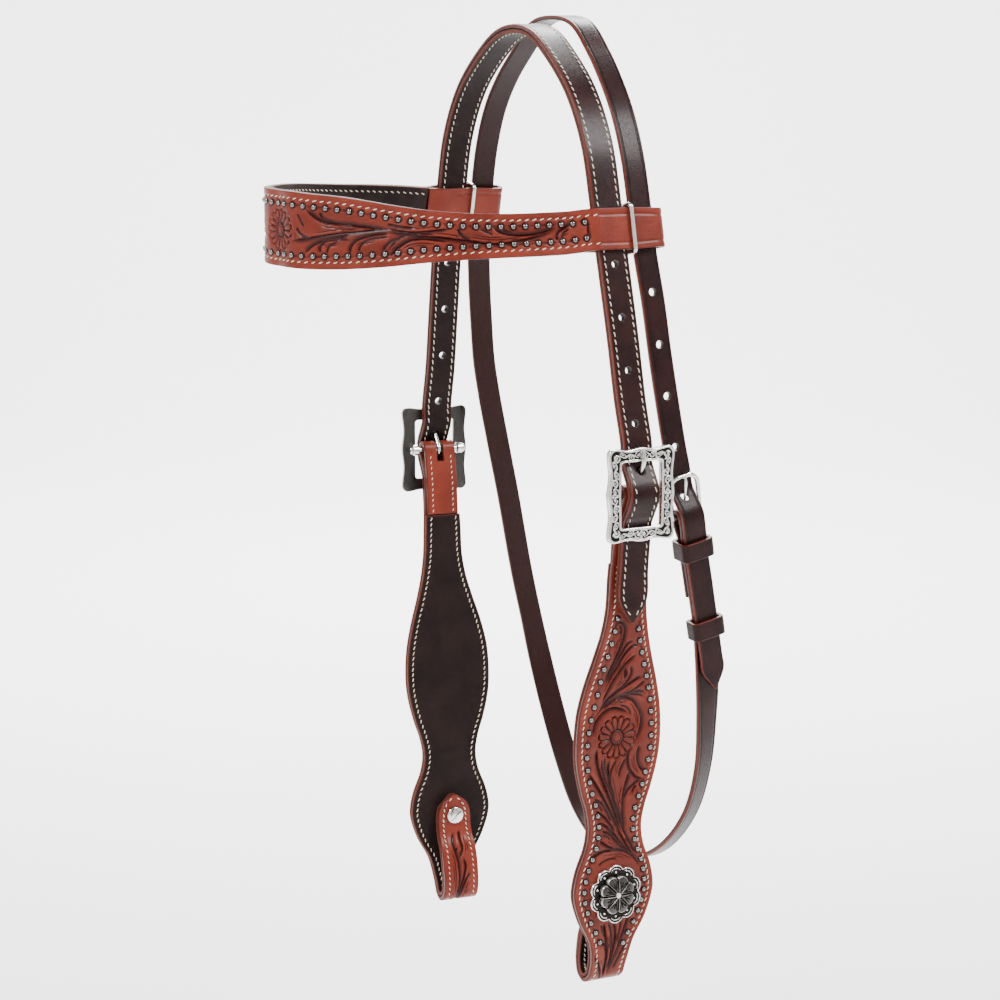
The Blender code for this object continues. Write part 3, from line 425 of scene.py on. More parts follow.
@contextmanager
def joined(parts: Sequence[bpy.types.Object]) -> Iterator[bpy.types.Object]:
    """Join several objects into the first and give that."""
    bpy.ops.object.select_all(action="DESELECT")
    for part in parts:
        part.select_set(True)
    bpy.context.view_layer.objects.active = parts[0]
    if len(parts) > 1:
        bpy.ops.object.join()
    parts[0].select_set(False)
    yield parts[0]


def ring(name: str, path: Array, outward: Array, axis: Array, section: Array,
         stain: Array | float = 0.0, worn: Array | float = 0.0) -> bpy.types.Object:
    """Sweep a closed section round a closed path.

    Args:
        name: the piece's name.
        path: places round the path.
        outward: the way out from the ring at each place.
        axis: the ring's axis, one way or one for each place.
        section: out and axis distances of the section's points, one set or one for each place.
        stain: how dark each point is.
        worn: how worn each point is.

    Returns:
        The piece, whose attribute "flat" holds the way round and the section's own distances.
    """
    around, count = len(path), section.shape[-2]
    bpy.ops.object.select_all(action="DESELECT")
    bpy.ops.mesh.primitive_grid_add(x_subdivisions=around, y_subdivisions=count, size=2)
    piece = named(bpy.context.object, name)
    flat = (corners(piece)[:, :2] + 1) / 2
    row = np.rint(flat[:, 0] * around).astype(int) % around
    column = np.rint(flat[:, 1] * count).astype(int) % count
    offset = np.broadcast_to(section, (around, count, 2))[row, column]
    axes = np.broadcast_to(axis, (around, 3))[row]
    put(piece, path[row] + outward[row] * offset[:, :1] + axes * offset[:, 1:])
    run = np.cumsum(np.linalg.norm(np.diff(path, axis=0, prepend=path[:1]), axis=1))
    note(piece, "flat", np.column_stack((run[row], offset)))
    stain, worn, top = (np.broadcast_to(value, (around, count))[row, column]
                        for value in (stain, worn, 1.0))
    note(piece, "tool", np.stack((stain, worn, top), -1))
    close_up(piece)
    return piece


def turned(name: str, profile: Sequence[tuple[float, float]], segments: int) -> bpy.types.Object:
    """Turn a round piece about Z from a circle that is extruded and resized.

    Args:
        name: the piece's name.
        profile: radius and height of each ring, from the bottom round to the top; the
            first and last are closed with a pole where their radius is zero.
        segments: faces round.
    """
    bpy.ops.object.select_all(action="DESELECT")
    rings = [(r, z) for r, z in profile if r > 0]
    bpy.ops.mesh.primitive_circle_add(vertices=segments, radius=rings[0][0],
                                      location=(0, 0, rings[0][1]))
    piece = named(bpy.context.object, name)
    with editing(piece):
        for (r0, z0), (r1, z1) in zip(rings, rings[1:]):
            bpy.ops.mesh.extrude_region_move(TRANSFORM_OT_translate={"value": (0, 0, z1 - z0)})
            bpy.ops.transform.resize(value=(r1 / r0, r1 / r0, 1))
        bpy.ops.mesh.edge_face_add()
        bpy.ops.mesh.select_all(action="DESELECT")
        bpy.ops.mesh.select_non_manifold(extend=False)
        bpy.ops.mesh.edge_face_add()
    piece.data.transform(piece.matrix_world)
    piece.matrix_world.identity()
    close_up(piece, 1e-7)
    return piece


def rod(name: str, points: Array, radii: Array, sides: int = 2) -> bpy.types.Object:
    """Return a round rod along points, with its own radius at each and closed ends."""
    curve = bpy.data.curves.new(name, "CURVE")
    curve.dimensions, curve.bevel_depth, curve.bevel_resolution = "3D", 1.0, sides
    curve.use_fill_caps = True
    line = curve.splines.new("POLY")
    line.points.add(len(points) - 1)
    for spot, place, radius in zip(line.points, points, radii):
        spot.co, spot.radius = (*place, 1), radius
    piece = bpy.data.objects.new(name, curve)
    bpy.context.collection.objects.link(piece)
    bpy.ops.object.select_all(action="DESELECT")
    piece.select_set(True)
    bpy.context.view_layer.objects.active = piece
    bpy.ops.object.convert(target="MESH")
    piece = named(bpy.context.object, name)
    close_up(piece)
    return piece


def eased(points: Sequence[Array], cuts: int) -> Array:
    """Return a smooth line of places through points."""
    rows = [np.concatenate((p, (0, 0, 0, 0))) for p in points]
    return spline(rows, cuts)[:, :3]


def scattered(name: str, pattern: bpy.types.Object, tables: Sequence[Array]) -> bpy.types.Object:
    """Copy one small shape to many places as one piece.

    Args:
        name: the new piece's name.
        pattern: the shape, modelled once round the origin; it is used up.
        tables: an axes table for each copy.
    """
    base = corners(pattern)
    faces = [tuple(p.vertices) for p in pattern.data.polygons]
    places = np.concatenate([placed(table, base) for table in tables])
    rings = [tuple(v + k * len(base) for v in face) for k in range(len(tables)) for face in faces]
    mesh = bpy.data.meshes.new(name)
    mesh.from_pydata(places.tolist(), [], rings)
    mesh.shade_smooth()
    piece = bpy.data.objects.new(name, mesh)
    bpy.context.collection.objects.link(piece)
    bpy.data.objects.remove(pattern)
    return piece


# Finishes

class Graph:
    """A material's nodes, with short calls to add and join them."""

    def __init__(self, name: str) -> None:
        """Start with a Principled shader."""
        self.material = bpy.data.materials.new(name)
        self.material.use_nodes = True
        self.tree = self.material.node_tree
        self.shader = self.tree.nodes["Principled BSDF"]

    def node(self, kind: str, settings: dict | None = None, **inputs: object) -> bpy.types.Node:
        """Add a node; an input takes a number, a colour or another node's output."""
        made = self.tree.nodes.new(f"ShaderNode{kind}")
        for key, value in (settings or {}).items():
            setattr(made, key, value)
        for key, value in inputs.items():
            self.feed(made.inputs[key.replace("_", " ")], value)
        return made

    def feed(self, socket: bpy.types.NodeSocket, value: object) -> None:
        """Link an output to a socket, or set the socket's own value."""
        if isinstance(value, bpy.types.NodeSocket):
            self.tree.links.new(value, socket)
        else:
            socket.default_value = value

    def math(self, operation: str, a: object, b: object = 0.0) -> bpy.types.NodeSocket:
        """Return the result of a sum."""
        made = self.tree.nodes.new("ShaderNodeMath")
        made.operation = operation
        self.feed(made.inputs[0], a)
        self.feed(made.inputs[1], b)
        return made.outputs[0]

    def noise(self, scale: float, detail: float, place: bpy.types.NodeSocket) -> bpy.types.NodeSocket:
        """Return soft noise at a scale."""
        return self.node("TexNoise", Scale=scale, Detail=detail, Vector=place).outputs["Fac"]

    def span(self, value: object, low: float, high: float, to_low: float = 0.0,
             to_high: float = 1.0) -> bpy.types.NodeSocket:
        """Return a value fitted from one range to another, smoothly."""
        made = self.node("MapRange", {"interpolation_type": "SMOOTHSTEP"})
        for socket, number in zip(made.inputs[:5], (value, low, high, to_low, to_high)):
            self.feed(socket, number)
        return made.outputs[0]

    def mix(self, share: object, a: object, b: object) -> bpy.types.NodeSocket:
        """Return a colour between two."""
        made = self.node("Mix", {"data_type": "RGBA"})
        for index, value in ((0, share), (6, a), (7, b)):
            self.feed(made.inputs[index], value)
        return made.outputs[2]

    def bump(self, height: bpy.types.NodeSocket, strength: float, distance: float) -> None:
        """Send a height to the shader's normal."""
        made = self.node("Bump", Strength=strength, Distance=distance, Height=height)
        self.feed(self.shader.inputs["Normal"], made.outputs[0])

    def fields(self, name: str) -> list[bpy.types.NodeSocket]:
        """Return the three numbers of a vertex attribute, and the attribute itself last."""
        source = self.node("Attribute", {"attribute_name": name}).outputs["Vector"]
        parts = self.node("SeparateXYZ", Vector=source)
        return [*parts.outputs[:3], source]


def colour(r: float, g: float, b: float) -> tuple[float, float, float, float]:
    """Return a colour with its alpha."""
    return (r, g, b, 1.0)


@dataclass(frozen=True)
class Leather:
    """Dyed leather: mottled dye, pores, dark cuts with stain and painted shade, painted highlights on
    their banks, and burnished edges.
    """
    name: str
    dye: tuple
    deep: tuple
    stain: tuple
    edge: tuple
    flesh: tuple
    roughness: float = 0.42
    coat: float = 0.07
    grain: float = 0.35
    shine: float = 0.13

    def make(self) -> bpy.types.Material:
        """Return the leather's material."""
        g = Graph(self.name)
        *_, place = g.fields("flat")
        stain, worn, top, _ = g.fields("tool")
        mottle = g.span(g.noise(55, 3, place), 0.35, 0.68)
        fine = g.noise(900, 4, place)
        pores = g.node("TexVoronoi", {"feature": "SMOOTH_F1"}, Scale=1500, Vector=place)
        pit = g.span(pores.outputs["Distance"], 0.05, 0.55)
        base = g.mix(mottle, colour(*self.deep), colour(*self.dye))
        base = g.mix(g.math("MULTIPLY", g.span(fine, 0.3, 0.7), 0.25), base, colour(*self.deep))
        base = g.mix(g.span(worn, 0.35, 0.95), base, colour(*self.edge))
        base = g.mix(g.span(top, 0.0, 1.0, 0.85, 0.0), base, colour(*self.flesh))
        # the stain colour paints stain in the cuts, painted shade on bevels and round spot seats, and,
        # where lowered, painted highlights
        base = g.mix(g.span(stain, 0.08, 0.9), base, colour(*self.stain))
        g.feed(g.shader.inputs["Base Color"], base)
        gloss = g.span(fine, 0.25, 0.75, self.roughness - 0.06, self.roughness + 0.1)
        g.feed(g.shader.inputs["Roughness"], gloss)
        height = g.math("ADD", pit, g.math("MULTIPLY", fine, 0.8))
        g.bump(height, self.grain, 0.00012)
        g.shader.inputs["Coat Weight"].default_value = self.coat
        g.shader.inputs["Coat Roughness"].default_value = 0.22
        g.shader.inputs["Specular IOR Level"].default_value = self.shine
        return g.material


@dataclass(frozen=True)
class Metal:
    """Cast or drawn metal, blackened where its relief is deep."""
    name: str
    bright: tuple
    black: tuple
    roughness: float

    def make(self) -> bpy.types.Material:
        """Return the metal's material."""
        g = Graph(self.name)
        place = g.node("TexCoord").outputs["Object"]
        dark, *_ = g.fields("tool")
        cloud = g.noise(160, 4, place)
        fine = g.noise(1400, 3, place)
        tarnish = g.math("MULTIPLY", g.span(cloud, 0.5, 0.75), 0.3)
        share = g.math("MAXIMUM", g.span(dark, 0.1, 0.8), tarnish)
        g.feed(g.shader.inputs["Base Color"], g.mix(share, colour(*self.bright), colour(*self.black)))
        rough = g.span(fine, 0.3, 0.7, self.roughness - 0.05, self.roughness + 0.08)
        g.feed(g.shader.inputs["Roughness"], g.math("ADD", rough, g.math("MULTIPLY", share, 0.2)))
        g.bump(g.math("ADD", cloud, g.math("MULTIPLY", fine, 0.3)), 0.25, 0.0002)
        g.shader.inputs["Metallic"].default_value = 1.0
        return g.material


@dataclass(frozen=True)
class Thread:
    """Waxed cord, twisted from a few plies."""
    name: str
    light: tuple
    shade: tuple

    def make(self) -> bpy.types.Material:
        """Return the thread's material."""
        g = Graph(self.name)
        place = g.node("TexCoord").outputs["Object"]
        g.feed(g.shader.inputs["Base Color"],
               g.mix(g.span(g.noise(700, 3, place), 0.35, 0.7), colour(*self.shade), colour(*self.light)))
        g.bump(g.noise(3500, 2, place), 0.5, 0.0001)
        g.shader.inputs["Roughness"].default_value = 0.62
        return g.material


class Finishes:
    """Every finish of the headstall, made once."""

    def __init__(self) -> None:
        """Make the materials."""
        # the tooled leather's stain colour also paints shade on cut bevels and round spot seats
        self.tooled = Leather("russet_tooled_leather", (0.188, 0.0285, 0.0158), (0.132, 0.018, 0.0098),
                              (0.026, 0.0019, 0.0013), (0.080, 0.0145, 0.010),
                              (0.09, 0.024, 0.014), coat=0.12).make()
        self.dark = Leather("dark_bridle_leather", (0.022, 0.0062, 0.0058), (0.013, 0.004, 0.0038),
                            (0.004, 0.0015, 0.0015), (0.12, 0.022, 0.013),
                            (0.020, 0.0072, 0.0068), roughness=0.32, coat=0.05).make()
        self.lining = Leather("lining_leather", (0.016, 0.0085, 0.008), (0.010, 0.0055, 0.0052),
                              (0.004, 0.002, 0.002), (0.09, 0.024, 0.017),
                              (0.022, 0.011, 0.01), roughness=0.5, coat=0.0, grain=0.5,
                              shine=0.09).make()
        self.silver = Metal("antique_silver", (0.9, 0.88, 0.85), (0.02, 0.017, 0.015), 0.2).make()
        self.steel = Metal("polished_steel", (0.80, 0.79, 0.77), (0.14, 0.13, 0.12), 0.14).make()
        # painted shade: the spots' metal is the polished steel made much darker, standing in for the dark
        # reflections on the spots
        self.nickel = Metal("nickel_spots", (0.21, 0.205, 0.197), (0.045, 0.04, 0.038), 0.12).make()
        self.thread = Thread("waxed_thread", (0.80, 0.70, 0.57), (0.58, 0.47, 0.35)).make()


# Places of the pieces

@dataclass(frozen=True)
class BuckleSize:
    """The cart buckle."""
    width: float = 0.0375
    height: float = 0.046
    window_width: float = 0.0228
    window_height: float = 0.032
    depth: float = 0.003
    wave: float = 0.0009
    bar_radius: float = 0.0018
    lug_length: float = 0.0032
    set_in: float = 0.0042
    tongue_radius: float = 0.001

    @property
    def bar_line(self) -> float:
        """The middle of the frame's top and bottom bars, from the centre."""
        return (self.window_height + (self.height - self.window_height) / 2) / 2


@dataclass(frozen=True)
class CheekSize:
    """The cheek piece, with drops measured from the buckle bar."""
    screw_drop: float = 0.202
    loop_drop: float = 0.046
    half_width: float = 0.0243
    neck_half: float = 0.0088
    fold_half: float = 0.0101
    flap: float = 0.035
    line_in: float = 0.0188
    drop_shares: tuple = (0.1964, 0.2873, 0.3474, 0.4064, 0.4702, 0.539, 0.6139, 0.6691,
                          0.7366, 0.7833, 0.8312, 0.8778, 0.9331, 0.9699, 1.0018)
    in_shares: tuple = (0.52, 0.55, 0.60, 0.68, 0.76, 0.83, 0.87, 0.91, 0.945, 0.96, 0.975, 0.98,
                        0.985, 0.99, 1.0)
    width_shares: tuple = (0.42, 0.45, 0.53, 0.665, 0.83, 0.96, 1.0, 0.965, 0.83, 0.70, 0.63,
                           0.68, 0.86, 0.935, 0.945)
    loop_in: tuple = (0.012, 0.057, 0.15, 0.257, 0.36, 0.63, 0.91, 1.0, 0.98, 0.89, 0.74, 0.54)
    loop_down: tuple = (0.28, 0.53, 0.73, 0.85, 0.94, 1.0, 0.94, 0.82, 0.66, 0.50, 0.36, 0.24)
    loop_width: tuple = (1.88, 1.27, 1.06, 1.01, 1.0, 1.0, 1.0, 1.0, 1.0, 1.0, 0.99, 0.97)
    tip_rise: float = 0.0115
    tip_rises: tuple = (0.0, 0.35, 0.62, 0.82, 0.94, 1.0)
    tip_widths: tuple = (0.93, 0.86, 0.70, 0.46, 0.24, 0.06)

    @property
    def drop(self) -> float:
        """The whole drop to the bit loop."""
        return self.screw_drop + self.loop_drop

    @property
    def return_step(self) -> float:
        """How far inside the cheek the turned-up end lies."""
        return STOCK.cheek + 2 * STOCK.cheek_lining + 3 * STOCK.gap


BUCKLE = BuckleSize()
CHEEK = CheekSize()
LAYOUT_CUTS = 12

STRAP_OUT = -(BUCKLE.depth / 2 + STOCK.gap + STOCK.crown_stack / 2)
FOLD_RADIUS = BUCKLE.bar_radius + STOCK.fold + STOCK.cheek / 2
CREST_RADIUS = FOLD_RADIUS + STOCK.cheek / 2 + 2 * STOCK.gap + STOCK.crown_stack / 2
CREST_OUT = CREST_RADIUS - BUCKLE.set_in
CLIMB = math.radians(30)
TAIL_STEP = STOCK.crown_stack / 2 + STOCK.gap + STOCK.cheek / 2
FACE_NECK_OUT = STRAP_OUT - TAIL_STEP - STOCK.gap


def climb(bar_out: float, radius: float, level: float) -> list[tuple[float, float]]:
    """Return (out, rise) points from a level behind a frame up to a turn round its bar."""
    start_out = bar_out + radius * math.cos(CLIMB)
    start_rise = radius * math.sin(CLIMB)
    run = (start_out - level) / math.tan(CLIMB)
    points = [(start_out + (level - start_out) * min(share, 0.93), start_rise + run * share)
              for share in (1.3, 0.95, 0.5, 0.0)]
    points[0] = (level, start_rise + run * 1.3)
    return points


@dataclass
class Side:
    """Axes of one side's cart buckle and cheek piece.

    out is away from the horse's cheek, from the middle plane of the buckle
    frame, and rise is up from the buckle's bar.
    """
    hand: Hand
    set_back: float
    drop: float
    turn: float
    stretch: float
    swing: float
    loop_reach: float
    hole_slip: float
    eye_drop: float
    spread: float = 0.1066

    def __post_init__(self) -> None:
        """Work out the axes."""
        angle, self.sign = math.radians(self.turn), self.hand.value
        self.out_way = np.array((self.sign * math.cos(angle), math.sin(angle), 0))
        self.back_way = np.array((-self.sign * math.sin(angle), math.cos(angle), 0))
        self.centre = np.array((self.sign * self.spread, self.set_back, -self.drop))
        self.bar = self.at(-BUCKLE.set_in, 0)
        self.word = self.hand.word

    def at(self, out: float, rise: float) -> Array:
        """Return the place at a distance out and a rise."""
        return self.centre + self.out_way * out + UP * rise

    def hang(self, out: float, drop: float) -> Array:
        """Return the place at a distance out and a drop along the cheek piece."""
        along = self.back_way * self.swing * drop / CHEEK.drop
        return self.at(out, -drop * self.stretch) + along


LEFT = Side(Hand.LEFT, 0.003, 0.2202, 1.0, 1.01, -0.003, 0.0175, 0.0, 0.094)
RIGHT = Side(Hand.RIGHT, 0.002, 0.224, 4.0, 0.99, 0.0, 0.0166, 0.0065, 0.0903)
SIDES = (LEFT, RIGHT)


def face_out(drop: float) -> float:
    """Return how far out the cheek's face layer lies at a drop below the bar."""
    drops = [BUCKLE.bar_line, *(share * CHEEK.screw_drop for share in CHEEK.drop_shares)]
    outs = [FACE_NECK_OUT, *(-share * CHEEK.line_in for share in CHEEK.in_shares)]
    return float(np.interp(drop, drops, outs))


def tongue_line(bar_out: float, curl: float, wire: float, front: float, low: float,
                high: float) -> list[tuple[float, float]]:
    """Return (out, rise) points of a tongue curled round its bar, up through the strap."""
    start, leave = math.radians(60), math.radians(145)
    turn = 2 * math.pi - (leave - start)
    points = [(bar_out + curl * math.cos(start - turn * k / 14),
               curl * math.sin(start - turn * k / 14)) for k in range(15)]
    rest = front + STOCK.gap + wire
    return points + [(rest - wire * 0.6, low - 2 * wire), (rest, low), (rest, high)]


def cart_tongue_line() -> list[tuple[float, float]]:
    """Return the cart buckle tongue's line."""
    low = BUCKLE.window_height / 2 + BUCKLE.tongue_radius / 2
    return tongue_line(-BUCKLE.set_in, FOLD_RADIUS - STOCK.gap, BUCKLE.tongue_radius,
                       BUCKLE.depth / 2, low, BUCKLE.height / 2 - 0.003 / 4)


# Relief: swivel-knife cuts, stitch lines, spots

def polyline(points: Sequence[float], step: float = 0.9) -> Array:
    """Return a smooth line in millimetres through flat (across, along) numbers."""
    pairs = np.array(points, float).reshape(-1, 2)
    rows = [np.array((u, s, 0, 0, 0, 0, 0)) for u, s in pairs]
    line = spline(rows, 8)[:, :2] if len(rows) > 2 else pairs
    run = np.concatenate(([0], np.cumsum(np.linalg.norm(np.diff(line, axis=0), axis=1))))
    count = max(3, int(run[-1] / step) + 1)
    at = np.linspace(0, run[-1], count)
    return np.stack((np.interp(at, run, line[:, 0]), np.interp(at, run, line[:, 1])), -1)


def nearest(points: Array, line: Array) -> tuple[Array, Array]:
    """Return each point's signed distance from a line, left being positive, and its share along."""
    a, b = line[:-1], line[1:]
    ab = b - a
    span = (ab ** 2).sum(1)
    rel = points[:, None] - a
    t = np.clip((rel * ab).sum(2) / span, 0, 1)
    off = rel - t[..., None] * ab
    gap = np.sqrt((off ** 2).sum(2))
    best = gap.argmin(1)
    rows = np.arange(len(points))
    cross = ab[best, 0] * rel[rows, best, 1] - ab[best, 1] * rel[rows, best, 0]
    return gap[rows, best] * np.where(cross >= 0, 1, -1), (best + t[rows, best]) / len(a)


@dataclass(frozen=True)
class Cut:
    """One cut of the swivel knife, bevelled on one side, in millimetres."""
    side: int
    depth: float
    bevel: float
    points: tuple

    def press(self, flat: Array, height: Array, stain: Array, swell: Array) -> None:
        """Lower a heightfield along the cut, darken it with stain and painted bevel shade, and swell the
        leather beside it.
        """
        line = polyline(self.points)
        reach = 3 * self.bevel + 1.8
        near = np.all((flat > line.min(0) - reach) & (flat < line.max(0) + reach), axis=1)
        if not near.any():
            return
        gap, share = nearest(flat[near], line)
        gap = gap * self.side
        far = np.abs(gap)
        fade = np.clip(np.minimum(share / 0.1, (1 - share) / 0.16), 0, 1) ** 0.6
        wall = np.exp(-(far / 0.36) ** 2)
        slope = np.where(gap > 0, 0.2 * wall + 0.8 * np.exp(-(far / (1.5 * self.bevel)) ** 1.5),
                         wall)
        height[near] = np.minimum(height[near], -2.0 * self.depth * fade * slope)
        bank = np.exp(-((far - 1.2) / 0.8) ** 2) * (gap < 0)
        swell[near] = np.maximum(swell[near], 0.8 * self.depth * fade * bank)
        # stain in the cut itself; the wide dark tail on the bevel side (gap > 0) is painted shade
        dark = np.where(gap > 0, 0.35 * np.exp(-(far / 0.6) ** 2)
                        + 0.95 * np.exp(-(far / (1.9 * self.bevel)) ** 1.4),
                        np.exp(-(far / 0.42) ** 2))
        stain[near] = np.maximum(stain[near], dark * fade * min(1.0, 0.6 + self.depth))
        if self.depth < 0.45:
            return
        for off, low, high in ((1.75, 0.18, 0.86), (2.9, 0.38, 0.74)):
            taper = np.clip(np.minimum((share - low) / 0.12, (high - share) / 0.12), 0, 1)
            vein = np.exp(-((gap + off) / 0.36) ** 2) * taper
            height[near] = np.minimum(height[near], -0.9 * self.depth * vein)
            stain[near] = np.maximum(stain[near], 0.72 * vein)


@dataclass(frozen=True)
class Blossom:
    """A tooled daisy: notched petals round a seeded centre, in millimetres."""
    centre: tuple
    radius: float = 10.3
    petals: int = 15
    turn: float = 0.1

    def press(self, flat: Array, height: Array, stain: Array) -> None:
        """Raise the flower out of a lowered ground."""
        rel = flat - np.array(self.centre)
        r = np.hypot(rel[:, 0], rel[:, 1])
        near = r < self.radius * 1.35
        r, angle = r[near], np.arctan2(rel[near, 1], rel[near, 0]) + self.turn
        share = (angle / (2 * math.pi) * self.petals) % 1.0 - 0.5
        lobe = np.abs(np.cos(math.pi * share)) ** 0.8 * (1 - 0.16 * np.exp(-(share / 0.12) ** 2))
        rim = self.radius * (0.74 + 0.26 * lobe)
        core = self.radius * 0.35
        petal = np.clip((r - core) / (rim - core), 0, 1)
        out = r > rim
        width = 0.35 + 0.5 * petal
        cut = np.exp(-((0.5 - np.abs(share)) * r * 2 * math.pi / self.petals / width) ** 2)
        vein = np.exp(-(share * r * 2 * math.pi / self.petals / 0.3) ** 2) * np.clip(1.1 - petal, 0, 1)
        h = 0.25 - 0.95 * cut - 0.5 * vein * np.clip(1.3 - petal, 0, 1) - 0.25 * (1 - petal)
        h = h - 0.3 * np.clip((petal - 0.82) / 0.18, 0, 1) ** 2
        dark = np.maximum(np.maximum(0.95 * cut, 0.75 * vein), 0.3 * (1 - petal))
        ring = np.exp(-((r - core) / 0.45) ** 2)
        seeds = 0.5 + 0.5 * np.cos(angle * 14) * np.cos((r - core) / core * 9)
        inner = r < core
        h = np.where(inner, -0.35 + 0.5 * seeds * (r > core * 0.5) + 0.45 * (r < core * 0.42), h)
        dark = np.where(inner, 0.9 * (1 - seeds) * (r > core * 0.45) + 0.15, dark)
        h, dark = h - 0.6 * ring, np.maximum(dark, ring)
        ground = np.exp(-((r - rim) / 1.5) ** 2)
        h = np.where(out, -1.0 * ground, h)
        dark = np.where(out, 0.9 * np.exp(-((r - rim) / 1.3) ** 2), dark)
        blend = np.where(out, ground, 1.0)
        height[near] = height[near] * (1 - blend) + h * blend
        stain[near] = stain[near] * (1 - blend) + dark * blend


